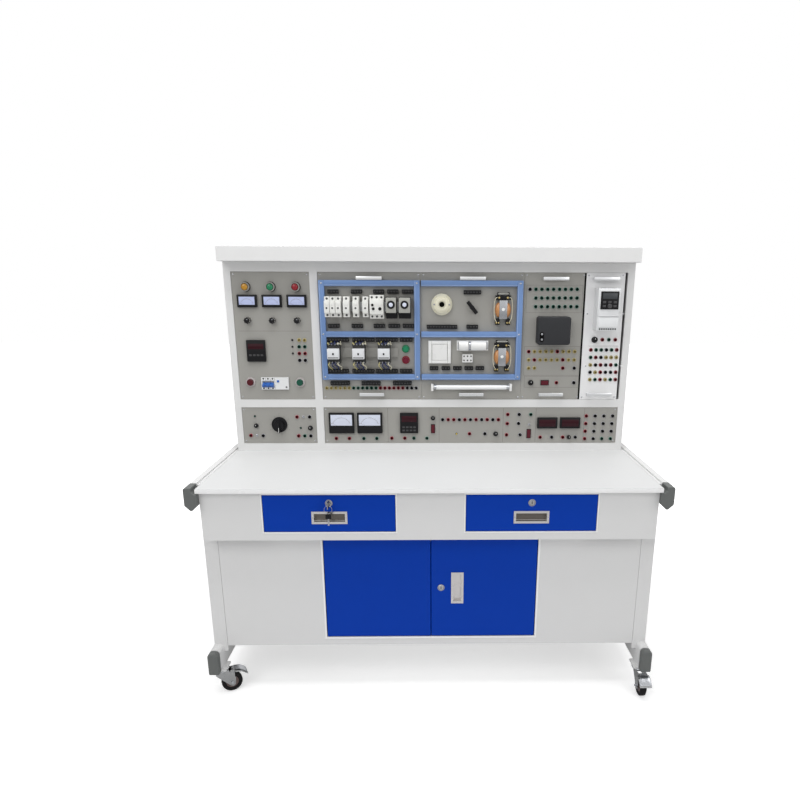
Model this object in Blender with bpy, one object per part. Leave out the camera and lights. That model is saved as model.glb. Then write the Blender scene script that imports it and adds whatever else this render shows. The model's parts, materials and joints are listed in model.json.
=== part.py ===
"""Electrician training workbench: a wheeled steel desk with drawers and a cupboard, and an
upright cabinet of control panels and removable device boards on its rear half.

The origin is on the floor under the middle of the bench. X runs to the right, Y to the rear
and Z up. All sizes are in metres.
"""

import math

import bmesh
import bpy
from mathutils import Matrix, Vector

# Whole bench
overall_depth = 0.770
fit_gap = 0.0003
seam_gap = 0.0006
overrun = 0.006
sheet = 0.002
round_sides = 24
small_sides = 16

# Casters, whose front brake pedals reach out further than the rear wheels
wheel_radius = 0.0375
wheel_width = 0.024
wheel_round = 0.004
wheel_play = 0.0015
axle_radius = 0.004
axle_play = 0.0004
caster_trail = 0.036
caster_setback = 0.062
mount_plate = 0.003
mount_size = 0.060
race_radius = 0.024
race_height = 0.005
swivel_radius = 0.027
swivel_height = 0.006
cheek = 0.0025
fork_length = 0.070
pedal_pivot_out = 0.041
pedal_over_wheel = 0.009
pedal_under_swivel = 0.0027
pedal_pin_radius = 0.0025
pedal_boss_radius = 0.005
pedal_clear = 0.0015
pedal_width = 0.044
pedal_length = 0.0455
pedal_drop = 0.022
pedal_thickness = 0.003
left_caster_angle = math.radians(25)
right_caster_angle = math.radians(-90)
rear_caster_angle = math.radians(90)
pedal_pivot_up = wheel_radius * 2 + pedal_over_wheel
swivel_bottom = pedal_pivot_up + pedal_boss_radius + pedal_under_swivel
swivel_top = swivel_bottom + swivel_height
caster_height = swivel_top + fit_gap + race_height + mount_plate

# The beams' ends, with the whole outline, pedals and wheels included, centred on the origin
pedal_reach = pedal_pivot_out + pedal_boss_radius + pedal_clear + pedal_length
wheel_reach = caster_trail + wheel_radius
outline_shift = (pedal_reach - wheel_reach) / 2
front = outline_shift - overall_depth / 2
back = outline_shift + overall_depth / 2
front_place = front + caster_setback
rear_place = back - caster_setback

# Desk board
desk_width = 1.551
desk_height = 0.800
desk_thickness = 0.016
desk_setback = 0.005
cabinet_seat = 0.0005
desk_front = front + desk_setback
desk_back = back - desk_setback
desk_bottom = desk_height - desk_thickness

# Side frames: foot beam, two columns, side sheet and top rail
rail_overlap = 0.0065
foot_outset = 0.005
caster_outset = 0.001
column_inset = 0.006
foot_width = 0.038
foot_height = 0.084
foot_round = 0.014
foot_cap_length = 0.030
foot_top = caster_height + foot_height
column_width = 0.0475
column_depth = 0.060
column_setback = 0.070
column_front = desk_front + column_setback
side_sheet = 0.010
rail_width = 0.043
rail_height = 0.079
rail_lip = 0.005
rail_ledge = 0.009
rail_step = 0.008
rail_chamfer = 0.018
rail_cap_length = 0.060
rail_inner = desk_width / 2 - rail_overlap
foot_centre = rail_inner + foot_outset
caster_x = rail_inner + caster_outset
column_centre = rail_inner - column_inset
rail_top = desk_height + rail_lip
rail_bottom = rail_top - rail_height
ledge_top = desk_bottom - fit_gap
column_top = ledge_top - rail_lip

# Apron and drawer housing
apron_width = (rail_inner - fit_gap) * 2
apron_drop = 0.187
apron_setback = 0.018
apron_thickness = 0.018
apron_front = desk_front + apron_setback
apron_top = desk_bottom - fit_gap
apron_bottom = desk_height - apron_drop
housing_depth = 0.450
runner_width = 0.012
runner_thickness = 0.003

# Drawers
drawer_outer_margin = 0.208
drawer_inner_margin = 0.119
drawer_height = 0.1285
drawer_drop = 0.027
drawer_width = rail_inner - drawer_outer_margin - drawer_inner_margin
drawer_centre = drawer_inner_margin + drawer_width / 2
drawer_top = desk_height - drawer_drop
drawer_bottom = drawer_top - drawer_height
drawer_reveal = 0.002
drawer_face = 0.018
tray_inset = 0.015
tray_shortfall = 0.050
tray_below_top = 0.0225
tray_rise = 0.006
tray_wall = 0.002
tray_play = 0.001
tray_width = drawer_width - tray_inset * 2
tray_depth = housing_depth - tray_shortfall
tray_height = drawer_height - tray_rise - tray_below_top

# Cup handles and cam locks
cup_width = 0.120
cup_height = 0.044
cup_flange = 0.002
cup_depth = 0.014
cup_wall = 0.0015
cup_rim = 0.008
cup_below_top = 0.079
lock_radius = 0.0105
lock_proud = 0.003
lock_play = 0.0004
lock_length = 0.017
lock_below_top = 0.0275
key_width = 0.022
key_length = 0.034
key_thickness = 0.0025

# Base cabinet and doors
base_drop = 0.006
base_seam = 0.001
base_depth = 0.480
base_flange = 0.030
side_panel_width = 0.36125
door_rise = 0.034
door_drop = 0.018
door_thickness = 0.018
door_reveal = 0.002
door_edge_round = 0.002
hinge_inset = 0.0065
hinge_depth = 0.0048
hinge_pin_radius = 0.0025
hinge_pin_length = 0.008
hinge_block = 0.016
door_lock_from_seam = 0.036
door_lock_above_middle = 0.004
door_cup_from_seam = 0.094
door_cup_above_middle = 0.0025
base_bottom = foot_top - base_drop
base_half = column_centre - column_width / 2 - base_seam
door_half = base_half - side_panel_width
door_width = door_half - door_reveal * 1.5
door_bottom = base_bottom + door_rise
door_top = apron_bottom - door_drop
door_middle = (door_bottom + door_top) / 2

# Upper cabinet
cabinet_setback = 0.530
cabinet_inset = 0.0015
cabinet_width = desk_width - cabinet_inset * 2
cabinet_front = desk_front + cabinet_setback
cabinet_bottom = desk_height - cabinet_seat + fit_gap
frame_thickness = 0.020
cabinet_wall = 0.002
stile = 0.026
middle_stile = 0.0297
left_bay_share = 0.18979
bottom_rail = 0.0298
low_bay = 0.146
middle_rail = 0.0311
upper_bay = 0.4813
top_rail = 0.0347
low_bay_bottom = cabinet_bottom + bottom_rail
low_bay_top = low_bay_bottom + low_bay
upper_bay_bottom = low_bay_top + middle_rail
upper_bay_top = upper_bay_bottom + upper_bay
cabinet_top = upper_bay_top + top_rail
left_bay_start = -cabinet_width / 2 + stile
left_bay_end = left_bay_start + cabinet_width * left_bay_share
right_bay_start = left_bay_end + middle_stile
right_bay_end = cabinet_width / 2 - stile
right_bay = right_bay_end - right_bay_start
rear_cover_thickness = 0.0015
canopy_overhang = 0.070
canopy_height = 0.0525
canopy_sheet = 0.0015

# Panels and boards
panel_thickness = 0.003
panel_setback = 0.003
board_width_share = (0.33092, 0.33305, 0.20043, 0.12580)
board_seam = 0.0006
grip_length = 0.097
grip_height = 0.012
grip_thickness = 0.005
grip_stand = 0.016
grip_post = 0.010
grip_margin = 0.0215
panel_front = cabinet_front + panel_setback
panel_back = panel_front + panel_thickness
board_a_width, board_b_width, board_c_width, drive_board_width = (
    right_bay * share for share in board_width_share
)
board_a_start = right_bay_start + board_seam
board_b_start = board_a_start + board_a_width + board_seam
board_c_start = board_b_start + board_b_width + board_seam
drive_board_start = board_c_start + board_c_width + board_seam

# Blue device frames on boards A and B
blue_bar = 0.0215
blue_proud = 0.016
blue_side_margin = 0.004
blue_top_margin = 0.029
blue_bottom_margin = 0.079
blue_middle_share = 0.46627
blue_edge = blue_side_margin + blue_bar
blue_bottom = upper_bay_bottom + seam_gap + blue_bottom_margin
blue_top = upper_bay_top - seam_gap - blue_top_margin
blue_middle = blue_bottom + (blue_top - blue_bottom) * blue_middle_share
low_window = (blue_bottom + blue_bar, blue_middle - blue_bar / 2)
high_window = (blue_middle + blue_bar / 2, blue_top - blue_bar)

# Panel devices
lamp_radius = 0.017
lamp_proud = 0.016
small_meter_width = 0.0735
small_meter_height = 0.0455
meter_proud = 0.010
fuse_cap_radius = 0.011
fuse_cap_proud = 0.020
instrument_width = 0.071
instrument_height = 0.081
large_meter_width = 0.099
large_meter_height = 0.082
large_meter_margin = 0.0197
large_meter_gap = 0.0131
digital_width = 0.080
digital_height = 0.043
digital_gap = 0.0117
bezel_radius = 0.0185
bezel_proud = 0.005
button_radius = 0.0125
button_play = 0.0005
button_proud = 0.010
button_length = 0.024
breaker_width = 0.106
breaker_height = 0.047
breaker_proud = 0.009
breaker_depth = 0.040
toggle_slot_width = 0.046
toggle_slot_height = 0.022
toggle_slot_depth = 0.011
toggle_width = 0.042
toggle_length = 0.016
toggle_thickness = 0.005
toggle_hub = 0.004
toggle_tilt = math.radians(30)
knob_radius = 0.031
knob_height = 0.020
knob_skirt = 0.005
knob_shaft = 0.004
knob_play = 0.0004

# Devices on board A
din_width = 0.035
din_thickness = 0.0075
device_row_height = 0.077
device_row_depth = 0.050
row_play = 0.0015
device_row_length = board_a_width - (blue_edge + row_play) * 2
step_height = 0.045
step_depth = 0.014
contactor_width = 0.047
contactor_height = 0.078
contactor_nose = 0.039
contactor_base = 0.036
contactor_depth = 0.060
module_button_radius = 0.0115
module_bezel_radius = 0.0155

# Devices on board B
holder_radius = 0.040
holder_height = 0.022
holder_hole = 0.010
holder_notch = 0.008
holder_side_gap = 0.0134
lever_base_radius = 0.015
lever_base_proud = 0.014
lever_length = 0.056
lever_width = 0.014
lever_thickness = 0.010
lever_tilt = math.radians(51)
switch_size = 0.0865
switch_proud = 0.009
switch_side_gap = 0.00232
rocker_width = 0.058
rocker_height = 0.060
rocker_thickness = 0.006
rocker_play = 0.001
rocker_pocket = 0.0075
rocker_sink = 0.002
rocker_pin_radius = 0.001
rocker_tilt = math.radians(4)
coil_width = 0.060
coil_end_gap = 0.0116
coil_side_gap = 0.0238
coil_depth = 0.032
coil_plate = 0.030
tube_side_gap = 0.03725
tube_radius = 0.009
tube_cap_width = 0.009
tube_cap_height = 0.027
tube_stand = 0.022
tube_base_height = 0.014
tube_up = 0.0505

# Device on board C and the drive
logic_box_width = 0.139
logic_box_height = 0.104
logic_box_depth = 0.058
logic_box_round = 0.008
drive_width = 0.096
drive_height = 0.154
drive_depth = 0.070
drive_round = 0.003

# Shares of the carrying panel's width and height, chosen by eye
lamp_x_share = (0.177, 0.500, 0.820)
lamp_z_share = 0.887
meter_x_share = (0.189, 0.508, 0.827)
meter_z_share = 0.780
fuse_z_share = 0.631
instrument_place_share = (0.259, 0.393)
stop_place_share = (0.150, 0.141)
breaker_place_share = (0.478, 0.132)
start_place_share = (0.8085, 0.139)
knob_place_share = (0.495, 0.521)
low_instrument_x_share = 0.2887
digital_x_share = 0.761
low_z_share = 0.571
device_row_z_share = 0.5516
contactor_rail_share = 0.8144
contactor_x_share = (0.0853, 0.3699, 0.6580)
contactor_z_share = 0.5841
module_button_x_share = 0.846
module_button_z_share = (0.411, 0.322)
holder_z_share = 0.6023
lever_place_share = (0.4966, 0.5388)
switch_z_share = 0.5971
coil_z_share = (0.5012, 0.4917)
logic_box_place_share = (0.515, 0.560)
drive_place_share = (0.560, 0.725)

# Outline of a caster cheek: shares of the fork's length and of the height under the swivel
cheek_outline_share = (
    (-0.30, 1.00), (0.36, 1.00), (0.50, 0.80), (0.70, 0.62), (0.66, 0.32),
    (0.54, 0.24), (0.40, 0.30), (-0.28, 0.84),
)


def clear_scene():
    for obj in list(bpy.data.objects):
        bpy.data.objects.remove(obj, do_unlink=True)


def finish_of(name, colour, roughness, metallic=0.0):
    look = bpy.data.materials.new(name)
    look.use_nodes = True
    shader = look.node_tree.nodes["Principled BSDF"]
    shader.inputs["Base Color"].default_value = (*colour, 1)
    shader.inputs["Roughness"].default_value = roughness
    shader.inputs["Metallic"].default_value = metallic
    return look


def add_object(name, shape, origin):
    """Links a mesh built in bench coordinates as an object whose origin is the given point."""
    bmesh.ops.recalc_face_normals(shape, faces=shape.faces)
    bmesh.ops.translate(shape, verts=shape.verts, vec=-Vector(origin))
    mesh = bpy.data.meshes.new(name)
    shape.to_mesh(mesh)
    shape.free()
    obj = bpy.data.objects.new(name, mesh)
    obj.location = origin
    bpy.context.scene.collection.objects.link(obj)
    return obj


def box(name, low, high, origin=(0, 0, 0)):
    shape = bmesh.new()
    size = Vector(high) - Vector(low)
    middle = (Vector(high) + Vector(low)) / 2
    bmesh.ops.create_cube(shape, size=1, matrix=Matrix.Translation(middle) @ Matrix.Diagonal((*size, 1)))
    return add_object(name, shape, origin)


def prism(name, outline, start, end, axis="Y", origin=(0, 0, 0)):
    """Extrudes an outline of (across, up) points along X or Y between two places."""
    shape = bmesh.new()
    place = (lambda a, b, c: (a, c, b)) if axis == "Y" else (lambda a, b, c: (c, a, b))
    first = [shape.verts.new(place(a, b, start)) for a, b in outline]
    last = [shape.verts.new(place(a, b, end)) for a, b in outline]
    shape.faces.new(first)
    shape.faces.new(reversed(last))
    for i in range(len(outline)):
        j = (i + 1) % len(outline)
        shape.faces.new((first[i], last[i], last[j], first[j]))
    return add_object(name, shape, origin)


def turned(name, profile, centre, outward, sides=round_sides, origin=(0, 0, 0), ring=False):
    """Turns (radius, height) points round the line through centre along outward."""
    shape = bmesh.new()
    out = Vector(outward)
    across = Vector((0, 1, 0)) if abs(out.x) > abs(out.y) else Vector((1, 0, 0))
    up = out.cross(across)
    rows = []
    for radius, height in profile:
        middle = Vector(centre) + out * height
        if radius == 0:
            rows.append([shape.verts.new(middle)])
            continue
        turns = [2 * math.pi * k / sides for k in range(sides)]
        rows.append([
            shape.verts.new(middle + (across * math.cos(t) + up * math.sin(t)) * radius) for t in turns
        ])
    pairs = list(zip(rows, rows[1:]))
    if ring:
        pairs.append((rows[-1], rows[0]))
    for one, two in pairs:
        for k in range(sides):
            n = (k + 1) % sides
            corners = [one[k % len(one)], two[k % len(two)], two[n % len(two)], one[n % len(one)]]
            shape.faces.new(list(dict.fromkeys(corners)))
    obj = add_object(name, shape, origin)
    obj.data.shade_smooth()
    obj.data.set_sharp_from_angle(angle=math.radians(40))
    return obj


def rod(name, radius, start, end, sides=small_sides, origin=(0, 0, 0)):
    """A round bar between two points."""
    line = Vector(end) - Vector(start)
    profile = ((0, 0), (radius, 0), (radius, line.length), (0, line.length))
    return turned(name, profile, start, line.normalized(), sides, origin)


def combine(obj, operation, tools):
    """Adds a Boolean for each tool, and keeps the tools out of the render."""
    for tool in tools:
        step = obj.modifiers.new(tool.name, "BOOLEAN")
        step.operation = operation
        step.solver = "EXACT"
        step.object = tool
        tool.hide_render = True
        tool.display_type = "WIRE"


def joined(obj, *tools):
    combine(obj, "UNION", tools)
    return obj


def cut(obj, *tools):
    combine(obj, "DIFFERENCE", tools)
    return obj


def rounded(obj, width, segments=2):
    step = obj.modifiers.new("edge_round", "BEVEL")
    step.width = width
    step.segments = segments
    step.limit_method = "ANGLE"
    return obj


def dressed(obj, look):
    obj.data.materials.append(look)
    return obj


def plate_between(name, x_range, z_range, y_range, origin=(0, 0, 0)):
    low = (x_range[0], y_range[0], z_range[0])
    high = (x_range[1], y_range[1], z_range[1])
    return box(name, low, high, origin)


def block_at(name, centre, size, y_range, origin=(0, 0, 0)):
    """A block with its face centre at (x, z) and its width and height in size."""
    x_range = (centre[0] - size[0] / 2, centre[0] + size[0] / 2)
    z_range = (centre[1] - size[1] / 2, centre[1] + size[1] / 2)
    return plate_between(name, x_range, z_range, y_range, origin)


def spot(area, share):
    """The point at a share of an area given as (x start, x end, z start, z end)."""
    x = area[0] + (area[1] - area[0]) * share[0]
    z = area[2] + (area[3] - area[2]) * share[1]
    return x, z


clear_scene()

white_steel = finish_of("white_steel", (0.84, 0.85, 0.86), 0.35)
white_laminate = finish_of("white_laminate", (0.83, 0.84, 0.85), 0.30)
blue_steel = finish_of("blue_steel", (0.01, 0.09, 0.62), 0.35)
blue_profile = finish_of("blue_profile", (0.16, 0.32, 0.72), 0.4)
grey_panel = finish_of("grey_panel", (0.42, 0.42, 0.40), 0.5)
cap_plastic = finish_of("cap_plastic", (0.22, 0.23, 0.23), 0.5)
chrome = finish_of("chrome", (0.75, 0.76, 0.78), 0.2, 1.0)
zinc = finish_of("zinc", (0.6, 0.61, 0.63), 0.3, 1.0)
tyre_rubber = finish_of("tyre_rubber", (0.02, 0.02, 0.02), 0.7)
black_plastic = finish_of("black_plastic", (0.02, 0.02, 0.022), 0.4)
white_plastic = finish_of("white_plastic", (0.82, 0.82, 0.80), 0.4)
cream_plastic = finish_of("cream_plastic", (0.78, 0.73, 0.55), 0.4)
red_plastic = finish_of("red_plastic", (0.6, 0.02, 0.02), 0.4)
green_plastic = finish_of("green_plastic", (0.02, 0.4, 0.12), 0.4)
orange_winding = finish_of("orange_winding", (0.65, 0.3, 0.08), 0.5)


# Side frames, welded from the foot beam, two columns, the side sheet and the top rail.
def foot_outline(side):
    centre = side * foot_centre
    half = foot_width / 2
    turns = [math.radians(15 * k) for k in range(7)]
    arc = [(half - foot_round + foot_round * math.cos(t), foot_top - foot_round + foot_round * math.sin(t))
           for t in turns]
    points = [(-half, caster_height), (half, caster_height)]
    points += arc + [(-a, b) for a, b in reversed(arc)]
    return [(centre + a, b) for a, b in points]


def rail_outline(side):
    """The rail's section, from the inner face outward, with the ledge that carries the desk board."""
    points = (
        (0, rail_bottom + rail_chamfer), (0, ledge_top), (rail_ledge, ledge_top),
        (rail_ledge + rail_step, ledge_top + rail_step), (rail_ledge + rail_step, rail_top),
        (rail_width - rail_lip, rail_top), (rail_width, rail_top - rail_lip),
        (rail_width, rail_bottom + rail_chamfer), (rail_width - rail_chamfer, rail_bottom),
        (rail_chamfer, rail_bottom),
    )
    return [(side * (rail_inner + a), b) for a, b in points]


def side_frame(name, side):
    foot = prism(name, foot_outline(side), front + foot_cap_length, back)
    x_range = (side * column_centre - column_width / 2, side * column_centre + column_width / 2)
    z_range = (foot_top - foot_round * 2, column_top)
    rear = back - desk_setback - column_setback
    columns = [
        plate_between(f"{name}_column_front", x_range, z_range, (column_front, column_front + column_depth)),
        plate_between(f"{name}_column_rear", x_range, z_range, (rear - column_depth, rear)),
    ]
    half = side_sheet / 2
    side_panel = plate_between(
        f"{name}_sheet", (side * column_centre - half, side * column_centre + half),
        (foot_top - foot_round * 2, column_top),
        (column_front + column_depth / 2, rear - column_depth / 2),
    )
    rail = prism(f"{name}_rail", rail_outline(side), front + rail_cap_length, back)
    mounts = []
    for end, place in (("front", front_place), ("rear", rear_place)):
        half_plate = mount_size / 2
        centre = side * caster_x
        mounts.append(box(
            f"{name}_plate_{end}",
            (centre - half_plate, place - half_plate, caster_height - mount_plate),
            (centre + half_plate, place + half_plate, caster_height + mount_plate),
        ))
        race_bottom = caster_height - mount_plate - race_height
        mounts.append(rod(
            f"{name}_race_{end}", race_radius,
            (centre, place, race_bottom), (centre, place, caster_height), round_sides,
        ))
    joined(foot, *columns, side_panel, rail, *mounts)
    return dressed(foot, white_steel)


for side, word in ((-1, "left"), (1, "right")):
    side_frame(f"side_frame_{word}", side)
    foot_cap = prism(f"foot_cap_{word}", foot_outline(side), front, front + foot_cap_length - fit_gap)
    dressed(rounded(foot_cap, rail_lip, 2), cap_plastic)
    rail_cap = prism(f"rail_cap_{word}", rail_outline(side), front, front + rail_cap_length - fit_gap)
    dressed(rounded(rail_cap, rail_lip / 2, 2), cap_plastic)

# Desk board, lying on the rails' ledges and the apron. Its top is let down a little where the cabinet stands.
desk = box("desktop", (-desk_width / 2, desk_front, desk_bottom), (desk_width / 2, desk_back, desk_height))
seat = box("cabinet_seat", (-desk_width, cabinet_front - fit_gap, desk_height - cabinet_seat),
           (desk_width, desk_back + overrun, desk_height + overrun))
dressed(cut(rounded(desk, sheet, 2), seat), white_laminate)


# Swivel casters. Each is built along +X from its swivel line and then turned into place.
def caster(word, side, place, angle, brake):
    at_swivel = Vector((side * caster_x, place, 0))
    turn = Matrix.Translation(at_swivel) @ Matrix.Rotation(angle, 4, "Z")
    inner = wheel_width / 2 + wheel_play
    outline = [(fork_length * a, swivel_bottom * b) for a, b in cheek_outline_share]
    name = f"caster_fork_{word}"
    fork = rod(name, swivel_radius, (0, 0, swivel_bottom), (0, 0, swivel_top), round_sides)
    tools = [
        box(f"{name}_bridge", (cheek_outline_share[0][0] * fork_length, -inner - cheek, swivel_bottom - cheek),
            (cheek_outline_share[1][0] * fork_length, inner + cheek, swivel_bottom + cheek)),
        prism(f"{name}_cheek_a", outline, inner, inner + cheek),
        prism(f"{name}_cheek_b", outline, -inner - cheek, -inner),
        rod(f"{name}_axle", axle_radius, (caster_trail, -inner - cheek * 2, wheel_radius),
            (caster_trail, inner + cheek * 2, wheel_radius)),
    ]
    if brake:
        reach = pedal_boss_radius
        for mark, start in (("a", inner), ("b", -inner - cheek)):
            tools.append(box(
                f"{name}_ear_{mark}",
                (pedal_pivot_out - reach * 2, start, wheel_radius + reach * 4),
                (pedal_pivot_out + reach, start + cheek, pedal_pivot_up + reach),
            ))
        tools.append(rod(
            f"{name}_pin", pedal_pin_radius,
            (pedal_pivot_out, -inner - cheek * 2, pedal_pivot_up),
            (pedal_pivot_out, inner + cheek * 2, pedal_pivot_up),
        ))
    for tool in tools:
        tool.matrix_world = turn
    fork.matrix_world = turn
    dressed(joined(fork, *tools), zinc)

    bore = axle_radius + axle_play
    half = wheel_width / 2
    profile = (
        (bore, half), (wheel_radius - wheel_round, half), (wheel_radius, half - wheel_round),
        (wheel_radius, wheel_round - half), (wheel_radius - wheel_round, -half), (bore, -half),
    )
    wheel = turned(f"caster_wheel_{word}", profile, (0, 0, 0), (0, 1, 0), 32, ring=True)
    wheel.matrix_world = turn @ Matrix.Translation((caster_trail, 0, wheel_radius))
    dressed(wheel, tyre_rubber)

    if brake:
        name = f"brake_pedal_{word}"
        pivot = (pedal_pivot_out, 0, pedal_pivot_up)
        low = pedal_pivot_up - pedal_drop
        start = pedal_pivot_out + pedal_boss_radius + pedal_clear
        tip = start + pedal_length
        outline = (
            (start, pedal_pivot_up - pedal_thickness), (start, pedal_pivot_up + pedal_thickness),
            (start + pedal_length / 2, pedal_pivot_up),
            (tip, low + pedal_thickness), (tip, low), (start + pedal_length / 2, pedal_pivot_up - pedal_thickness * 2),
        )
        plate = prism(name, outline, -pedal_width / 2, pedal_width / 2, origin=pivot)
        boss_half = inner - cheek / 2
        boss = rod(f"{name}_boss", pedal_boss_radius, (pedal_pivot_out, -boss_half, pedal_pivot_up),
                   (pedal_pivot_out, boss_half, pedal_pivot_up), origin=pivot)
        tongue = box(f"{name}_tongue", (pedal_pivot_out, -boss_half, pedal_pivot_up - pedal_thickness),
                     (start + pedal_thickness, boss_half, pedal_pivot_up + pedal_thickness), origin=pivot)
        bore = rod(f"{name}_bore", pedal_pin_radius + axle_play, (pedal_pivot_out, -pedal_width, pedal_pivot_up),
                   (pedal_pivot_out, pedal_width, pedal_pivot_up), origin=pivot)
        for piece in (plate, boss, tongue, bore):
            piece.matrix_world = turn @ Matrix.Translation(pivot)
        joined(plate, boss, tongue)
        dressed(cut(plate, bore), zinc)


caster("front_left", -1, front_place, left_caster_angle, True)
caster("front_right", 1, front_place, right_caster_angle, True)
caster("rear_left", -1, rear_place, rear_caster_angle, False)
caster("rear_right", 1, rear_place, rear_caster_angle, False)

# Apron with the drawer housing behind it: floor, runner walls and runner ledges.
apron = box("drawer_housing", (-apron_width / 2, apron_front, apron_bottom),
            (apron_width / 2, apron_front + apron_thickness, apron_top))
housing_back = apron_front + apron_thickness + housing_depth
runner_top = drawer_bottom + tray_rise - fit_gap
outer_wall = drawer_centre + tray_width / 2 + tray_play + sheet
windows, carriers = [], []
carriers.append(box("housing_floor", (-outer_wall, apron_front + apron_thickness / 2, apron_bottom + fit_gap),
                    (outer_wall, housing_back, apron_bottom + fit_gap + sheet)))
for side, word in ((-1, "left"), (1, "right")):
    centre = side * drawer_centre
    windows.append(plate_between(
        f"apron_window_{word}",
        (centre - drawer_width / 2 - drawer_reveal, centre + drawer_width / 2 + drawer_reveal),
        (drawer_bottom - drawer_reveal, drawer_top + drawer_reveal),
        (apron_front - overrun, apron_front + apron_thickness + drawer_reveal),
    ))
    for edge, mark in ((-1, "inner"), (1, "outer")):
        face = centre + edge * (tray_width / 2 + tray_play)
        far = face + edge * sheet
        near = face - edge * runner_width
        carriers.append(plate_between(
            f"runner_wall_{word}_{mark}", sorted((face, far)),
            (apron_bottom + sheet, drawer_top + drawer_reveal * 2),
            (apron_front + apron_thickness / 2, housing_back - sheet),
        ))
        carriers.append(plate_between(
            f"runner_{word}_{mark}", sorted((near, face + edge * sheet / 2)),
            (runner_top - runner_thickness, runner_top),
            (apron_front + apron_thickness + drawer_reveal * 2, housing_back - sheet * 2),
        ))
joined(apron, *carriers)
cut(apron, *windows)
dressed(apron, white_steel)


# Cup handle: a thin flange on the face with a pressed cup sunk into it.
def cup_parts(name, centre, face, size, origin):
    flange = block_at(name, centre, size, (face - cup_flange, face - fit_gap), origin)
    hollow = (size[0] - cup_rim * 2, size[1] - cup_rim * 2)
    outer = (hollow[0] + cup_wall * 2, hollow[1] + cup_wall * 2)
    bowl = block_at(f"{name}_bowl", centre, outer, (face - cup_flange / 2, face + cup_depth), origin)
    space = block_at(f"{name}_space", centre, hollow, (face - overrun, face + cup_depth - cup_wall), origin)
    joined(flange, bowl)
    dressed(cut(flange, space), chrome)
    seat = (outer[0] + fit_gap * 2, outer[1] + fit_gap * 2)
    return block_at(f"{name}_seat", centre, seat, (face - overrun, face + cup_depth + fit_gap), origin)


# Cam lock: a short barrel with a domed head, turning in a hole of the face.
def lock_parts(name, centre, face, key):
    origin = (centre[0], face, centre[1])
    profile = (
        (0, lock_proud), (lock_radius - lock_proud / 2, lock_proud), (lock_radius, lock_proud / 2),
        (lock_radius, -lock_length), (0, -lock_length),
    )
    barrel = turned(name, profile, origin, (0, -1, 0), round_sides, origin)
    if key:
        stem = block_at(f"{name}_stem", centre, (key_thickness, key_width / 2),
                        (face - lock_proud * 4, face), origin)
        bow = block_at(f"{name}_bow", centre, (key_thickness, key_width),
                       (face - key_length, face - lock_proud * 4 + key_thickness), origin)
        hole = rod(f"{name}_eye", key_width / 6,
                   (centre[0] - key_width, face - key_length + key_width / 3, centre[1]),
                   (centre[0] + key_width, face - key_length + key_width / 3, centre[1]), origin=origin)
        joined(barrel, stem, bow)
        cut(barrel, hole)
    dressed(barrel, chrome)
    return rod(f"{name}_seat", lock_radius + lock_play,
               (centre[0], face - overrun, centre[1]), (centre[0], face + lock_length + overrun, centre[1]),
               round_sides)


# Drawers: a blue face with a steel tray behind it.
for side, word in ((-1, "left"), (1, "right")):
    centre = side * drawer_centre
    name = f"drawer_{word}"
    middle = (centre, (drawer_bottom + drawer_top) / 2)
    face = block_at(name, middle, (drawer_width, drawer_height), (apron_front, apron_front + drawer_face))
    tray_bottom = drawer_bottom + tray_rise
    tray_middle = (centre, tray_bottom + tray_height / 2)
    tray_back = apron_front + drawer_face + tray_depth
    tray = block_at(f"{name}_tray", tray_middle, (tray_width, tray_height),
                    (apron_front + drawer_face / 2, tray_back))
    hollow = plate_between(
        f"{name}_hollow",
        (centre - tray_width / 2 + tray_wall, centre + tray_width / 2 - tray_wall),
        (tray_bottom + tray_wall, drawer_top + overrun),
        (apron_front + drawer_face, tray_back - tray_wall),
    )
    lock_at = (centre, drawer_top - lock_below_top)
    cup_at = (centre, drawer_top - cup_below_top)
    cup_seat = cup_parts(f"drawer_handle_{word}", cup_at, apron_front, (cup_width, cup_height), (0, 0, 0))
    lock_seat = lock_parts(f"drawer_lock_{word}", lock_at, apron_front, side < 0)
    joined(face, tray)
    dressed(cut(face, hollow, cup_seat, lock_seat), blue_steel)

# Base cabinet: folded front sheet between the columns, with the cupboard box behind its doorway.
base_front = column_front
base_top = apron_bottom - fit_gap
base = box("base_cabinet", (-base_half, base_front, base_bottom), (base_half, base_front + sheet, base_top))
opening_z = (door_bottom - door_reveal, door_top + door_reveal)
box_back = base_front + base_depth
walls = []
for side, word in ((-1, "left"), (1, "right")):
    start = side * (door_half + fit_gap)
    walls.append(plate_between(f"cupboard_wall_{word}", sorted((start, start + side * sheet)),
                               (base_bottom + sheet, base_top - sheet), (base_front + sheet / 2, box_back)))
    end = side * base_half
    walls.append(plate_between(f"base_flange_{word}", sorted((end, end - side * sheet)),
                               (base_bottom + sheet / 2, base_top - sheet / 2),
                               (base_front + sheet / 2, base_front + base_flange)))
reach = door_half + sheet / 2
floor_top = opening_z[0] - fit_gap
roof_bottom = opening_z[1] + fit_gap
walls.append(plate_between("cupboard_floor", (-reach, reach), (floor_top - sheet, floor_top),
                           (base_front + sheet / 2, box_back)))
walls.append(plate_between("cupboard_top", (-reach, reach), (roof_bottom, roof_bottom + sheet),
                           (base_front + sheet / 2, box_back)))
walls.append(plate_between("cupboard_back", (-reach, reach), (base_bottom + sheet * 2, base_top - sheet * 2),
                           (box_back - sheet, box_back + sheet / 2)))
doorway = plate_between("doorway", (-door_half, door_half), opening_z,
                        (base_front - overrun, base_front + hinge_block + overrun))
hinge_holes = []
hinge_y = base_front + hinge_depth
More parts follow.
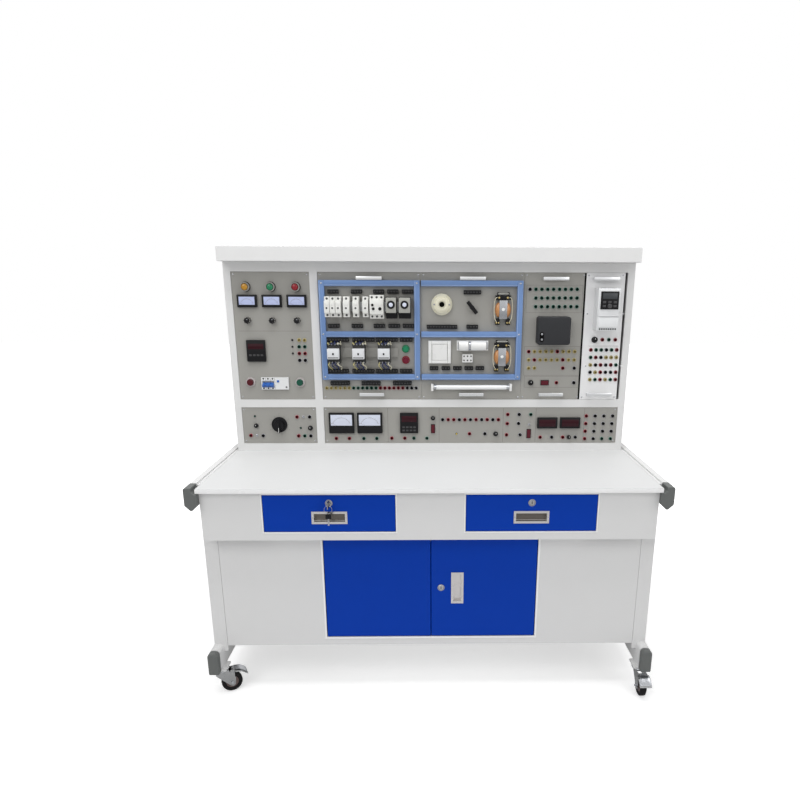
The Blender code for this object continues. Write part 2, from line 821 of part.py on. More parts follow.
for side, word in ((-1, "left"), (1, "right")):
    hinge_x = side * (door_half - door_reveal - hinge_inset)
    half = hinge_block / 2
    for level, mark in ((opening_z[0], "low"), (opening_z[1], "high")):
        outside = -1 if mark == "low" else 1
        near = level - outside * sheet
        far = level + outside * hinge_block
        walls.append(box(f"hinge_block_{word}_{mark}",
                         (hinge_x - half, base_front + sheet / 2, min(near, far)),
                         (hinge_x + half, base_front + hinge_block, max(near, far))))
        hinge_holes.append(rod(f"hinge_hole_{word}_{mark}", hinge_pin_radius + axle_play,
                               (hinge_x, hinge_y, level - outside * overrun),
                               (hinge_x, hinge_y, level + outside * (hinge_pin_length + fit_gap))))
joined(base, *walls)
dressed(cut(base, doorway, *hinge_holes), white_steel)


# Doors, each turning on two short pins near its outer edge.
def door(word, side):
    name = f"door_{word}"
    outer = side * (door_half - door_reveal)
    inner = side * door_reveal / 2
    hinge_x = side * (door_half - door_reveal - hinge_inset)
    origin = (hinge_x, hinge_y, door_bottom)
    leaf = plate_between(name, sorted((outer, inner)), (door_bottom, door_top),
                         (base_front, base_front + door_thickness), origin)
    rounded(leaf, door_edge_round, 1)
    reach_down = door_bottom - door_reveal - hinge_pin_length + fit_gap
    reach_up = door_top + door_reveal + hinge_pin_length - fit_gap
    pins = [
        rod(f"{name}_pin_low", hinge_pin_radius, (hinge_x, hinge_y, reach_down),
            (hinge_x, hinge_y, door_bottom + hinge_pin_length), origin=origin),
        rod(f"{name}_pin_high", hinge_pin_radius, (hinge_x, hinge_y, door_top - hinge_pin_length),
            (hinge_x, hinge_y, reach_up), origin=origin),
    ]
    joined(leaf, *pins)
    return dressed(leaf, blue_steel)


door("left", -1)
right_door = door("right", 1)
door_cup_seat = cup_parts("door_handle", (door_cup_from_seam, door_middle + door_cup_above_middle), base_front,
                          (cup_height, cup_width), (0, 0, 0))
door_lock_seat = lock_parts("door_lock", (door_lock_from_seam, door_middle + door_lock_above_middle), base_front, False)
cut(right_door, door_cup_seat, door_lock_seat)

# Upper cabinet: a steel box, open at the rear, whose front sheet has four openings.
cabinet_half = cabinet_width / 2
cabinet = box("cabinet_frame", (-cabinet_half, cabinet_front, cabinet_bottom),
              (cabinet_half, desk_back, cabinet_top))
inside = box("cabinet_inside",
             (-cabinet_half + cabinet_wall, cabinet_front + frame_thickness, cabinet_bottom + cabinet_wall),
             (cabinet_half - cabinet_wall, desk_back + overrun, cabinet_top - cabinet_wall))
bay_y = (cabinet_front - overrun, cabinet_front + frame_thickness + overrun)
bays = [
    plate_between("bay_upper_left", (left_bay_start, left_bay_end), (upper_bay_bottom, upper_bay_top), bay_y),
    plate_between("bay_upper_right", (right_bay_start, right_bay_end), (upper_bay_bottom, upper_bay_top), bay_y),
    plate_between("bay_lower_left", (left_bay_start, left_bay_end), (low_bay_bottom, low_bay_top), bay_y),
    plate_between("bay_lower_right", (right_bay_start, right_bay_end), (low_bay_bottom, low_bay_top), bay_y),
]
dressed(cut(cabinet, inside, *bays), white_steel)
cover_half = cabinet_half - cabinet_wall - seam_gap
rear_cover = box("rear_cover",
                 (-cover_half, desk_back - rear_cover_thickness, cabinet_bottom + cabinet_wall + seam_gap),
                 (cover_half, desk_back, cabinet_top - cabinet_wall - seam_gap))
dressed(rear_cover, white_steel)

# Canopy: a shallow sheet box that overhangs the panels, open over the cabinet's roof.
canopy_bottom = cabinet_top + fit_gap
canopy_top = canopy_bottom + canopy_height
canopy_front = cabinet_front - canopy_overhang
canopy = box("canopy", (-cabinet_half, canopy_front, canopy_bottom), (cabinet_half, desk_back, canopy_top))
canopy_space = box("canopy_space",
                   (-cabinet_half + canopy_sheet, canopy_front + canopy_sheet, canopy_bottom + canopy_sheet),
                   (cabinet_half - canopy_sheet, desk_back - canopy_sheet, canopy_top - canopy_sheet))
canopy_mouth = box("canopy_mouth",
                   (-cabinet_half + canopy_sheet * 8, cabinet_front + frame_thickness, canopy_bottom - overrun),
                   (cabinet_half - canopy_sheet * 8, desk_back - canopy_sheet * 8, canopy_bottom + canopy_height / 2))
dressed(cut(rounded(canopy, sheet, 2), canopy_space, canopy_mouth), white_steel)


# A panel plate held in an opening, with the devices that are fixed to it.
def panel_area(x_range, z_range):
    return (x_range[0] + seam_gap, x_range[1] - seam_gap, z_range[0] + seam_gap, z_range[1] - seam_gap)


def panel_plate(name, area):
    return plate_between(name, area[:2], area[2:], (panel_front, panel_back))


def proud_block(name, centre, size, proud, round_off=0):
    obj = block_at(name, centre, size, (panel_front - proud, panel_front + panel_thickness / 2))
    return rounded(obj, round_off, 1) if round_off else obj


def proud_disc(name, centre, radius, proud, sides=round_sides):
    return rod(name, radius, (centre[0], panel_front + panel_thickness / 2, centre[1]),
               (centre[0], panel_front - proud, centre[1]), sides)


# Push button: a cap that slides in through its bezel, which is fixed to the panel.
def push_button(name, centre, radius, outer, look):
    face = panel_front - bezel_proud - button_proud
    origin = (centre[0], face, centre[1])
    chamfer = radius / 8
    profile = ((0, 0), (radius - chamfer, 0), (radius, -chamfer), (radius, -button_length), (0, -button_length))
    dressed(turned(name, profile, origin, (0, -1, 0), small_sides, origin), look)
    bezel = proud_disc(f"{name}_bezel", centre, outer, bezel_proud)
    hole = rod(f"{name}_hole", radius + button_play, (centre[0], face - overrun, centre[1]),
               (centre[0], panel_back + overrun, centre[1]), small_sides)
    return bezel, hole


left_area = panel_area((left_bay_start, left_bay_end), (upper_bay_bottom, upper_bay_top))
control = panel_plate("control_panel", left_area)
fittings, holes = [], []
for k, share in enumerate(lamp_x_share):
    fittings.append(proud_disc(f"pilot_lamp_{k}", spot(left_area, (share, lamp_z_share)), lamp_radius, lamp_proud))
for k, share in enumerate(meter_x_share):
    fittings.append(proud_block(f"panel_meter_{k}", spot(left_area, (share, meter_z_share)),
                                (small_meter_width, small_meter_height), meter_proud))
for k, share in enumerate(lamp_x_share):
    fittings.append(proud_disc(f"fuse_cap_{k}", spot(left_area, (share, fuse_z_share)), fuse_cap_radius,
                               fuse_cap_proud, small_sides))
fittings.append(proud_block("instrument", spot(left_area, instrument_place_share),
                            (instrument_width, instrument_height), meter_proud))
for name, share, look in (("stop_button", stop_place_share, red_plastic),
                          ("start_button", start_place_share, green_plastic)):
    bezel, hole = push_button(name, spot(left_area, share), button_radius, bezel_radius, look)
    fittings.append(bezel)
    holes.append(hole)
breaker_at = spot(left_area, breaker_place_share)
window = (breaker_width + seam_gap * 2, breaker_height + seam_gap * 2)
holes.append(block_at("breaker_window", breaker_at, window, (panel_front - overrun, panel_back + overrun)))
joined(control, *fittings)
dressed(cut(control, *holes), grey_panel)

# Circuit breaker in the control panel, with its three coupled handles on one bar.
breaker = block_at("breaker", breaker_at, (breaker_width, breaker_height),
                   (panel_front - breaker_proud, panel_front + breaker_depth))
slot_x = breaker_at[0] - breaker_width / 4
slot = block_at("breaker_slot", (slot_x, breaker_at[1]), (toggle_slot_width, toggle_slot_height),
                (panel_front - breaker_proud - overrun, panel_front - breaker_proud + toggle_slot_depth))
hub_y = panel_front - breaker_proud + toggle_hub + sheet
hinge_rod = rod("breaker_pin", toggle_hub / 2, (slot_x - toggle_slot_width / 2 - sheet, hub_y, breaker_at[1]),
                (slot_x + toggle_slot_width / 2 + sheet, hub_y, breaker_at[1]))
cut(breaker, slot)
dressed(joined(breaker, hinge_rod), white_plastic)
toggle_origin = (slot_x, hub_y, breaker_at[1])
toggle = rod("breaker_toggle", toggle_hub, (slot_x - toggle_width / 2, hub_y, breaker_at[1]),
             (slot_x + toggle_width / 2, hub_y, breaker_at[1]), origin=toggle_origin)
paddle = block_at("toggle_paddle", (slot_x, breaker_at[1]), (toggle_width, toggle_thickness),
                  (hub_y - toggle_length, hub_y), toggle_origin)
toggle_bore = rod("toggle_bore", toggle_hub / 2 + axle_play,
                  (slot_x - toggle_width, hub_y, breaker_at[1]), (slot_x + toggle_width, hub_y, breaker_at[1]),
                  origin=toggle_origin)
joined(toggle, paddle)
cut(toggle, toggle_bore)
for piece in (toggle, paddle, toggle_bore):
    piece.rotation_euler.x = toggle_tilt
dressed(toggle, blue_steel)

# Lower left panel with the large rotary knob.
low_left_area = panel_area((left_bay_start, left_bay_end), (low_bay_bottom, low_bay_top))
low_left = panel_plate("lower_left_panel", low_left_area)
knob_at = spot(low_left_area, knob_place_share)
knob_origin = (knob_at[0], panel_front, knob_at[1])
knob_profile = (
    (0, knob_height), (knob_radius * 0.62, knob_height), (knob_radius * 0.70, knob_skirt),
    (knob_radius, knob_skirt - sheet / 2), (knob_radius, fit_gap), (knob_shaft, fit_gap),
    (knob_shaft, -knob_height), (0, -knob_height),
)
knob = turned("rotary_knob", knob_profile, knob_origin, (0, -1, 0), round_sides, knob_origin)
pointer = plate_between("rotary_knob_wing", (knob_at[0] - knob_shaft, knob_at[0] + knob_shaft),
                        (knob_at[1] - knob_radius * 0.95, knob_at[1] + knob_radius * 0.55),
                        (panel_front - knob_height - knob_skirt, panel_front - knob_skirt), knob_origin)
dressed(joined(knob, pointer), black_plastic)
shaft_hole = rod("knob_hole", knob_shaft + knob_play, (knob_at[0], panel_front - overrun, knob_at[1]),
                 (knob_at[0], panel_back + overrun, knob_at[1]))
dressed(cut(low_left, shaft_hole), grey_panel)

# Long lower strip with analogue and digital instruments.
strip_area = panel_area((right_bay_start, right_bay_end), (low_bay_bottom, low_bay_top))
strip = panel_plate("lower_strip", strip_area)
low_z = spot(strip_area, (0, low_z_share))[1]
meter_start = strip_area[0] + large_meter_margin + large_meter_width / 2
instruments = [
    proud_block(f"large_meter_{k}", (meter_start + (large_meter_width + large_meter_gap) * k, low_z),
                (large_meter_width, large_meter_height), meter_proud)
    for k in range(2)
]
instruments.append(proud_block("low_instrument", spot(strip_area, (low_instrument_x_share, low_z_share)),
                               (instrument_width, instrument_height), meter_proud))
digital_start = spot(strip_area, (digital_x_share, low_z_share))[0]
instruments += [
    proud_block(f"digital_meter_{k}", (digital_start + (digital_width + digital_gap) * k, low_z),
                (digital_width, digital_height), meter_proud)
    for k in range(2)
]
dressed(joined(strip, *instruments), grey_panel)


# Removable boards. Each has a bar grip near its top and its bottom edge.
def board_grips(name, area):
    pieces = []
    middle = (area[0] + area[1]) / 2
    for mark, z in (("low", area[2] + grip_margin), ("high", area[3] - grip_margin)):
        far = panel_front - grip_stand
        bar = block_at(f"{name}_grip_{mark}", (middle, z), (grip_length, grip_height), (far - grip_thickness, far))
        pieces.append(bar)
        for edge in (-1, 1):
            x = middle + edge * (grip_length - grip_post) / 2
            pieces.append(block_at(f"{name}_post_{mark}_{edge}", (x, z), (grip_post, grip_height / 2),
                                   (far - grip_thickness / 2, panel_front + panel_thickness / 2)))
    return pieces


def board_area(start, width):
    return (start, start + width, upper_bay_bottom + seam_gap, upper_bay_top - seam_gap)


def window_spot(area, window, share):
    """The point at a share of a frame window, given the board's area and the window's (z start, z end)."""
    return spot((area[0] + blue_edge, area[1] - blue_edge, *window), share)


def blue_frame(name, area):
    """Two-compartment frame screwed to the board's face."""
    x_range = (area[0] + blue_side_margin, area[1] - blue_side_margin)
    z_range = (blue_bottom, blue_top)
    y_range = (panel_front - fit_gap - blue_proud, panel_front - fit_gap)
    frame = plate_between(name, x_range, z_range, y_range)
    through = (y_range[0] - overrun, y_range[1] + overrun)
    window_x = (x_range[0] + blue_bar, x_range[1] - blue_bar)
    low = plate_between(f"{name}_low", window_x, low_window, through)
    high = plate_between(f"{name}_high", window_x, high_window, through)
    dressed(cut(frame, low, high), blue_profile)


a_area = board_area(board_a_start, board_a_width)
board_a = panel_plate("board_a", a_area)
a_extras = board_grips("board_a", a_area)
a_middle = (a_area[0] + a_area[1]) / 2
contactor_z = window_spot(a_area, low_window, (0, contactor_z_share))[1]
row_start = a_middle - device_row_length / 2
rail_length = device_row_length * contactor_rail_share
a_extras.append(block_at("contactor_din_rail", (row_start + rail_length / 2, contactor_z),
                         (rail_length, din_width),
                         (panel_front - din_thickness, panel_front + panel_thickness / 2)))
a_holes = []
for name, z_share, look in (("module_start_button", module_button_z_share[0], green_plastic),
                            ("module_stop_button", module_button_z_share[1], red_plastic)):
    bezel, hole = push_button(name, spot(a_area, (module_button_x_share, z_share)), module_button_radius,
                              module_bezel_radius, look)
    a_extras.append(bezel)
    a_holes.append(hole)
joined(board_a, *a_extras)
dressed(cut(board_a, *a_holes), grey_panel)
blue_frame("blue_frame_left", a_area)

# Row of fuse bases, overload relay and plug-in time relays on their own mounting rail.
row_z = window_spot(a_area, high_window, (0, device_row_z_share))[1]
row_back = panel_front - fit_gap
row_rail = block_at("device_row", (a_middle, row_z), (device_row_length, din_width),
                    (row_back - din_thickness, row_back))
row_shape_share = (
    (0.000, 0.190, 1.00, 1.00), (0.210, 0.285, 1.00, 1.00), (0.318, 0.390, 1.00, 1.00),
    (0.428, 0.495, 1.00, 1.00), (0.507, 0.668, 1.12, 0.90), (0.690, 0.812, 0.84, 1.30),
    (0.835, 0.968, 0.84, 1.30),
)
for_row = []
for k, (begin, end, tall, deep) in enumerate(row_shape_share):
    width = (end - begin) * device_row_length
    middle = row_start + (begin + end) / 2 * device_row_length
    depth = device_row_depth * deep
    height = device_row_height * tall
    foot_y = row_back - din_thickness / 2
    base_y = row_back - din_thickness - depth + step_depth
    for_row.append(block_at(f"row_base_{k}", (middle, row_z), (width, height), (base_y, foot_y)))
    for_row.append(block_at(f"row_nose_{k}", (middle, row_z), (width, step_height),
                            (base_y - step_depth, base_y + step_depth / 2)))
dressed(joined(row_rail, *for_row), white_plastic)

# Three contactors: a wide base with a narrower, deeper nose.
for word, share in zip(("left", "middle", "right"), contactor_x_share):
    x = row_start + device_row_length * share
    seat = panel_front - din_thickness - fit_gap
    body = block_at(f"contactor_{word}", (x, contactor_z), (contactor_width, contactor_height),
                    (seat - contactor_base, seat))
    nose = block_at(f"contactor_{word}_nose", (x, contactor_z), (contactor_width - sheet, contactor_nose),
                    (seat - contactor_depth, seat - contactor_base / 2))
    dressed(joined(body, nose), cream_plastic)

# Board B: plug-in socket devices, switches and the lamp.
b_area = board_area(board_b_start, board_b_width)
board_b = panel_plate("board_b", b_area)
b_extras = board_grips("board_b", b_area)
switch_x = b_area[0] + blue_edge + switch_side_gap + switch_size / 2
switch_at = (switch_x, window_spot(b_area, low_window, (0, switch_z_share))[1])
b_extras.append(proud_block("switch_plate", switch_at, (switch_size, switch_size), switch_proud, sheet))
lever_at = window_spot(b_area, high_window, lever_place_share)
b_extras.append(proud_disc("lever_base", lever_at, lever_base_radius, lever_base_proud, small_sides))
pocket = block_at("rocker_pocket", switch_at,
                  (rocker_width + rocker_play * 2, rocker_height + rocker_play * 2),
                  (panel_front - switch_proud - overrun, panel_front - switch_proud + rocker_pocket))
rocker_axis_y = panel_front - switch_proud + rocker_sink
rocker_origin = (switch_at[0], rocker_axis_y, switch_at[1])
reach = rocker_width / 2 + rocker_play + sheet
rocker_pin = rod("rocker_pin", rocker_pin_radius, (switch_at[0] - reach, rocker_axis_y, switch_at[1]),
                 (switch_at[0] + reach, rocker_axis_y, switch_at[1]))
rocker = block_at("wall_switch_rocker", switch_at, (rocker_width, rocker_height),
                  (rocker_axis_y - rocker_thickness / 2, rocker_axis_y + rocker_thickness / 2), rocker_origin)
rocker_bore = rod("rocker_bore", rocker_pin_radius + axle_play,
                  (switch_at[0] - reach, rocker_axis_y, switch_at[1]),
                  (switch_at[0] + reach, rocker_axis_y, switch_at[1]), origin=rocker_origin)
for piece in (rocker, rocker_bore):
    piece.rotation_euler.x = rocker_tilt
dressed(cut(rocker, rocker_bore), white_plastic)
joined(board_b, *b_extras)
cut(board_b, pocket)
shaft_place = (lever_at[0], panel_front - lever_base_proud, lever_at[1])
lever_hole = rod("lever_hole", knob_shaft + knob_play, (lever_at[0], shaft_place[1] - overrun, lever_at[1]),
                 (lever_at[0], panel_back + overrun, lever_at[1]), small_sides)
cut(board_b, lever_hole)
dressed(joined(board_b, rocker_pin), grey_panel)
blue_frame("blue_frame_right", b_area)

# Lever handle of the selector switch, turning on a shaft through its round base.
lever = rod("lever_switch", knob_shaft, (lever_at[0], panel_front, lever_at[1]),
            (lever_at[0], shaft_place[1] - lever_thickness / 2, lever_at[1]), origin=shaft_place)
handle = block_at("lever_switch_handle", lever_at, (lever_length, lever_width),
                  (shaft_place[1] - fit_gap - lever_thickness, shaft_place[1] - fit_gap), shaft_place)
rounded(handle, sheet, 2)
handle.rotation_euler.y = lever_tilt
dressed(joined(lever, handle), black_plastic)

# Round porcelain lamp holder with four edge notches.
holder_x = b_area[0] + blue_edge + holder_side_gap + holder_radius
holder_at = (holder_x, window_spot(b_area, high_window, (0, holder_z_share))[1])
holder_seat = (holder_at[0], panel_front - fit_gap, holder_at[1])
holder_profile = (
    (holder_hole, holder_height), (holder_radius * 0.75, holder_height), (holder_radius, holder_height * 0.45),
    (holder_radius, 0), (holder_hole, 0),
)
holder = turned("lamp_holder", holder_profile, holder_seat, (0, -1, 0), 28, ring=True)
notches = []
for k in range(4):
    angle = math.radians(45 + 90 * k)
    x = holder_at[0] + holder_radius * math.cos(angle)
    z = holder_at[1] + holder_radius * math.sin(angle)
    notches.append(rod(f"holder_notch_{k}", holder_notch, (x, panel_front + overrun, z),
                       (x, panel_front - holder_height - overrun, z), small_sides))
dressed(cut(holder, *notches), cream_plastic)

# Two coil units: a wound coil between a steel plate and a terminal head.
coil_height = low_window[1] - low_window[0] - coil_end_gap * 2
coil_x = b_area[1] - blue_edge - coil_side_gap - coil_width / 2
for word, window, z_share in zip(("upper", "lower"), (high_window, low_window), coil_z_share):
    x, z = coil_x, window_spot(b_area, window, (0, z_share))[1]
    seat = panel_front - fit_gap
    name = f"coil_unit_{word}"
    yoke = block_at(name, (x, z), (coil_plate, coil_height), (seat - coil_depth, seat))
    core = (x, seat - coil_depth / 2, z)
    winding = turned(f"{name}_winding",
                     ((0, coil_height * 0.22), (coil_width * 0.36, coil_height * 0.22), (coil_width * 0.5, 0),
                      (coil_width * 0.36, -coil_height * 0.26), (0, -coil_height * 0.26)),
                     core, (0, 0, 1), small_sides, core)
    winding.data.transform(Matrix.Diagonal((1, (coil_depth - sheet) / coil_width, 1, 1)))
    head = block_at(f"{name}_head", (x, z + coil_height * 0.40), (coil_width, coil_height * 0.16),
                    (seat - coil_depth * 0.8, seat - coil_depth * 0.1))
    floor = plate_between(f"{name}_floor", (x - coil_width / 2, x + coil_width / 2),
                          (z - coil_height * 0.46, z + coil_height * 0.46), (seat - sheet, seat - sheet / 8))
    joined(yoke, floor, winding, head)
    dressed(yoke, orange_winding)

# Fluorescent tube lamp under board B's frame.
tube_length = board_b_width - tube_side_gap * 2
tube_x = (b_area[0] + b_area[1]) / 2
tube_z = b_area[2] + tube_up
seat = panel_front - fit_gap
tube = block_at("tube_lamp", (tube_x, tube_z), (tube_length - tube_cap_width, tube_base_height),
                (seat - tube_stand / 3, seat))
tube_parts = [rod("tube_glass", tube_radius, (tube_x - tube_length / 2 + tube_cap_width / 2, seat - tube_stand, tube_z),
                  (tube_x + tube_length / 2 - tube_cap_width / 2, seat - tube_stand, tube_z))]
for edge in (-1, 1):
    x = tube_x + edge * (tube_length - tube_cap_width) / 2
    tube_parts.append(block_at(f"tube_cap_{edge}", (x, tube_z), (tube_cap_width, tube_cap_height),
                               (seat - tube_stand - tube_radius - sheet, seat)))
dressed(joined(tube, *tube_parts), white_plastic)

# Board C with the logic controller.
c_area = board_area(board_c_start, board_c_width)
board_c = panel_plate("board_c", c_area)
dressed(joined(board_c, *board_grips("board_c", c_area)), grey_panel)
logic_at = spot(c_area, logic_box_place_share)
logic_box = block_at("logic_controller", logic_at, (logic_box_width, logic_box_height),
                     (panel_front - fit_gap - logic_box_depth, panel_front - fit_gap))
dressed(rounded(logic_box, logic_box_round, 2), black_plastic)

# White board with the motor drive.
d_area = board_area(drive_board_start, drive_board_width)
drive_board = panel_plate("drive_board", d_area)
dressed(joined(drive_board, *board_grips("drive_board", d_area)), white_laminate)
drive_at = spot(d_area, drive_place_share)
drive = block_at("motor_drive", drive_at, (drive_width, drive_height),
                 (panel_front - fit_gap - drive_depth, panel_front - fit_gap))
dressed(rounded(drive, drive_round, 2), white_plastic)
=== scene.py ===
"""The finished look of an electrician training workbench, on a pale floor under soft studio light."""

import math

import bmesh
import bpy
from mathutils import Matrix, Vector
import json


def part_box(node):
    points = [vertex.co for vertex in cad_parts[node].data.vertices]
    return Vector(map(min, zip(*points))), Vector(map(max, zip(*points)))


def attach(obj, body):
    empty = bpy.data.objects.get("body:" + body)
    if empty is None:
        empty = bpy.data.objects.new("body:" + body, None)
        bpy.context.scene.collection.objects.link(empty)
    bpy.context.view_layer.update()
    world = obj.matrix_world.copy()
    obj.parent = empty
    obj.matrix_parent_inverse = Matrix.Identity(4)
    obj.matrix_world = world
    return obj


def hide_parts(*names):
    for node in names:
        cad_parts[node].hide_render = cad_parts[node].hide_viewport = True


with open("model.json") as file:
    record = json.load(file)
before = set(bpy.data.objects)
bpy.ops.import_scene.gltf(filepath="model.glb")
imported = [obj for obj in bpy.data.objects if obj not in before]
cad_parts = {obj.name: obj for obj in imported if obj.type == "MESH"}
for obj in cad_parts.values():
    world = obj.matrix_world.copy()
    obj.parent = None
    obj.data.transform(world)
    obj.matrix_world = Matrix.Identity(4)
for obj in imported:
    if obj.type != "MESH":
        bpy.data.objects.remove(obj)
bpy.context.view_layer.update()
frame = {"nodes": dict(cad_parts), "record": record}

# View and room
# The camera stands about two metres in front of the desk and looks slightly down. The photograph is a
# square cut from a larger picture, so its optical axis lies low and right of the middle.
picture_side = 800
sight_length_px = 674.6
axis_px = (443.34, 484.55)
camera_before_desk = 2.125
camera_height = 1.4571
camera_side = 0.0019
camera_yaw = math.radians(-1.076)
camera_pitch = math.radians(16.811)
camera_roll = math.radians(0.181)

desk_low, desk_high = (Vector(v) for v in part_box("desktop"))
camera_place = Vector((camera_side, desk_low.y - camera_before_desk, camera_height))
camera_turn = (Matrix.Rotation(camera_yaw, 4, "Z") @ Matrix.Rotation(math.pi / 2 - camera_pitch, 4, "X")
               @ Matrix.Rotation(camera_roll, 4, "Z"))
camera_data = bpy.data.cameras.new("camera")
camera_data.sensor_width = 36
camera_data.lens = camera_data.sensor_width * sight_length_px / picture_side
camera_data.shift_x = (picture_side / 2 - axis_px[0]) / picture_side
camera_data.shift_y = (axis_px[1] - picture_side / 2) / picture_side
camera = bpy.data.objects.new("camera", camera_data)
camera.matrix_world = Matrix.Translation(camera_place) @ camera_turn
bpy.context.scene.collection.objects.link(camera)
bpy.context.scene.camera = camera
bpy.context.scene.view_settings.view_transform = "Standard"


def add_lamp(name, place, aim, size, power):
    """A soft studio lamp that faces the place it is aimed at."""
    data = bpy.data.lights.new(name, "AREA")
    data.shape = "RECTANGLE"
    data.size, data.size_y = size
    data.energy = power
    lamp = bpy.data.objects.new(name, data)
    lamp.location = place
    lamp.rotation_euler = (Vector(aim) - Vector(place)).to_track_quat("-Z", "Y").to_euler()
    bpy.context.scene.collection.objects.link(lamp)


bench_middle = (0, 0, 0.9)
add_lamp("key_lamp", (-2.2, -3.2, 3.6), bench_middle, (2.6, 2.0), 50)
add_lamp("fill_lamp", (2.8, -2.6, 2.2), bench_middle, (2.4, 2.4), 20)
add_lamp("roof_lamp", (0, -0.5, 3.6), bench_middle, (3.0, 1.6), 62)

room_light = 0.42
world = bpy.data.worlds.new("white_room")
bpy.context.scene.world = world
world.use_nodes = True
room = world.node_tree
ray = room.nodes.new("ShaderNodeLightPath")
seen_rays = room.nodes.new("ShaderNodeMath")
seen_rays.operation = "MAXIMUM"
seen_or_clear = room.nodes.new("ShaderNodeMath")
seen_or_clear.operation = "MAXIMUM"
level = room.nodes.new("ShaderNodeMapRange")
level.inputs["To Min"].default_value = room_light
level.inputs["To Max"].default_value = 1
room.links.new(ray.outputs["Is Camera Ray"], seen_rays.inputs[0])
room.links.new(ray.outputs["Is Glossy Ray"], seen_rays.inputs[1])
room.links.new(seen_rays.outputs[0], seen_or_clear.inputs[0])
room.links.new(ray.outputs["Is Transmission Ray"], seen_or_clear.inputs[1])
room.links.new(seen_or_clear.outputs[0], level.inputs["Value"])
room.links.new(level.outputs["Result"], room.nodes["Background"].inputs["Strength"])
room.nodes["Background"].inputs["Color"].default_value = (1, 1, 1, 1)

floor_reach = 14
floor_lift = 0.46
fade_start = 1.0
fade_end = 2.2
floor_mesh = bpy.data.meshes.new("floor")
floor_corners = [(x, y, 0) for x, y in ((-1, -1), (1, -1), (1, 1), (-1, 1))]
floor_mesh.from_pydata([Vector(c) * floor_reach for c in floor_corners], [], [(0, 1, 2, 3)])
floor = bpy.data.objects.new("floor", floor_mesh)
bpy.context.scene.collection.objects.link(floor)
floor_look = bpy.data.materials.new("floor_paint")
floor_look.use_nodes = True
paint = floor_look.node_tree
paint_shader = paint.nodes["Principled BSDF"]
paint_shader.inputs["Base Color"].default_value = (0.86, 0.86, 0.86, 1)
paint_shader.inputs["Roughness"].default_value = 0.9
paint_shader.inputs["Specular IOR Level"].default_value = 0
glow = paint.nodes.new("ShaderNodeEmission")
glow_ray = paint.nodes.new("ShaderNodeLightPath")
glow_level = paint.nodes.new("ShaderNodeMapRange")
glow_level.inputs["To Max"].default_value = 1
floor_place = paint.nodes.new("ShaderNodeTexCoord")
floor_distance = paint.nodes.new("ShaderNodeVectorMath")
floor_distance.operation = "LENGTH"
floor_fade = paint.nodes.new("ShaderNodeMapRange")
floor_fade.inputs["From Min"].default_value = fade_start
floor_fade.inputs["From Max"].default_value = fade_end
floor_fade.inputs["To Min"].default_value = floor_lift
floor_fade.inputs["To Max"].default_value = 1
glow_share = paint.nodes.new("ShaderNodeMath")
glow_share.operation = "MULTIPLY"
both = paint.nodes.new("ShaderNodeAddShader")
paint.links.new(glow_ray.outputs["Is Camera Ray"], glow_level.inputs["Value"])
paint.links.new(floor_place.outputs["Object"], floor_distance.inputs[0])
paint.links.new(floor_distance.outputs["Value"], floor_fade.inputs["Value"])
paint.links.new(glow_level.outputs["Result"], glow_share.inputs[0])
paint.links.new(floor_fade.outputs["Result"], glow_share.inputs[1])
paint.links.new(glow_share.outputs[0], glow.inputs["Strength"])
paint.links.new(paint_shader.outputs["BSDF"], both.inputs[0])
paint.links.new(glow.outputs["Emission"], both.inputs[1])
paint.links.new(both.outputs["Shader"], paint.nodes["Material Output"].inputs["Surface"])
floor_mesh.materials.append(floor_look)


# Side frames
# Welded box section, powder coated white: a foot beam, two columns with a closing sheet between them, and
# a top rail that carries the desk board. The rear ends are closed by plastic caps like the front ones.
def finish(name, colour, rough, metal=0.0, grain=700, bump=0.06, mottle=0.02, spread=0.06,
           stretch=(1, 1, 1), coat=0.0, shine=0.5):
    """A surface with faint mottling in colour and gloss and a fine grain, stretched along brushed metal."""
    look = bpy.data.materials.new(name)
    look.use_nodes = True
    tree = look.node_tree
    shader = tree.nodes["Principled BSDF"]
    shader.inputs["Metallic"].default_value = metal
    shader.inputs["Coat Weight"].default_value = coat
    shader.inputs["Specular IOR Level"].default_value = shine
    place = tree.nodes.new("ShaderNodeTexCoord")
    size = tree.nodes.new("ShaderNodeMapping")
    size.inputs["Scale"].default_value = stretch
    fine = tree.nodes.new("ShaderNodeTexNoise")
    fine.inputs["Scale"].default_value = grain
    fine.inputs["Detail"].default_value = 4
    broad = tree.nodes.new("ShaderNodeTexNoise")
    broad.inputs["Scale"].default_value = grain / 60
    broad.inputs["Detail"].default_value = 5
    tint = tree.nodes.new("ShaderNodeMix")
    tint.data_type = "RGBA"
    tint.inputs["A"].default_value = (*(c * (1 - mottle) for c in colour), 1)
    tint.inputs["B"].default_value = (*(min(1, c * (1 + mottle)) for c in colour), 1)
    gloss = tree.nodes.new("ShaderNodeMapRange")
    gloss.inputs["From Min"].default_value = 0.3
    gloss.inputs["From Max"].default_value = 0.7
    gloss.inputs["To Min"].default_value = rough - spread
    gloss.inputs["To Max"].default_value = rough + spread
    relief = tree.nodes.new("ShaderNodeBump")
    relief.inputs["Strength"].default_value = bump
    relief.inputs["Distance"].default_value = 0.0004
    tree.links.new(place.outputs["Object"], size.inputs["Vector"])
    for noise in (fine, broad):
        tree.links.new(size.outputs["Vector"], noise.inputs["Vector"])
    tree.links.new(broad.outputs["Fac"], tint.inputs["Factor"])
    tree.links.new(tint.outputs["Result"], shader.inputs["Base Color"])
    tree.links.new(broad.outputs["Fac"], gloss.inputs["Value"])
    tree.links.new(gloss.outputs["Result"], shader.inputs["Roughness"])
    tree.links.new(fine.outputs["Fac"], relief.inputs["Height"])
    tree.links.new(relief.outputs["Normal"], shader.inputs["Normal"])
    return look


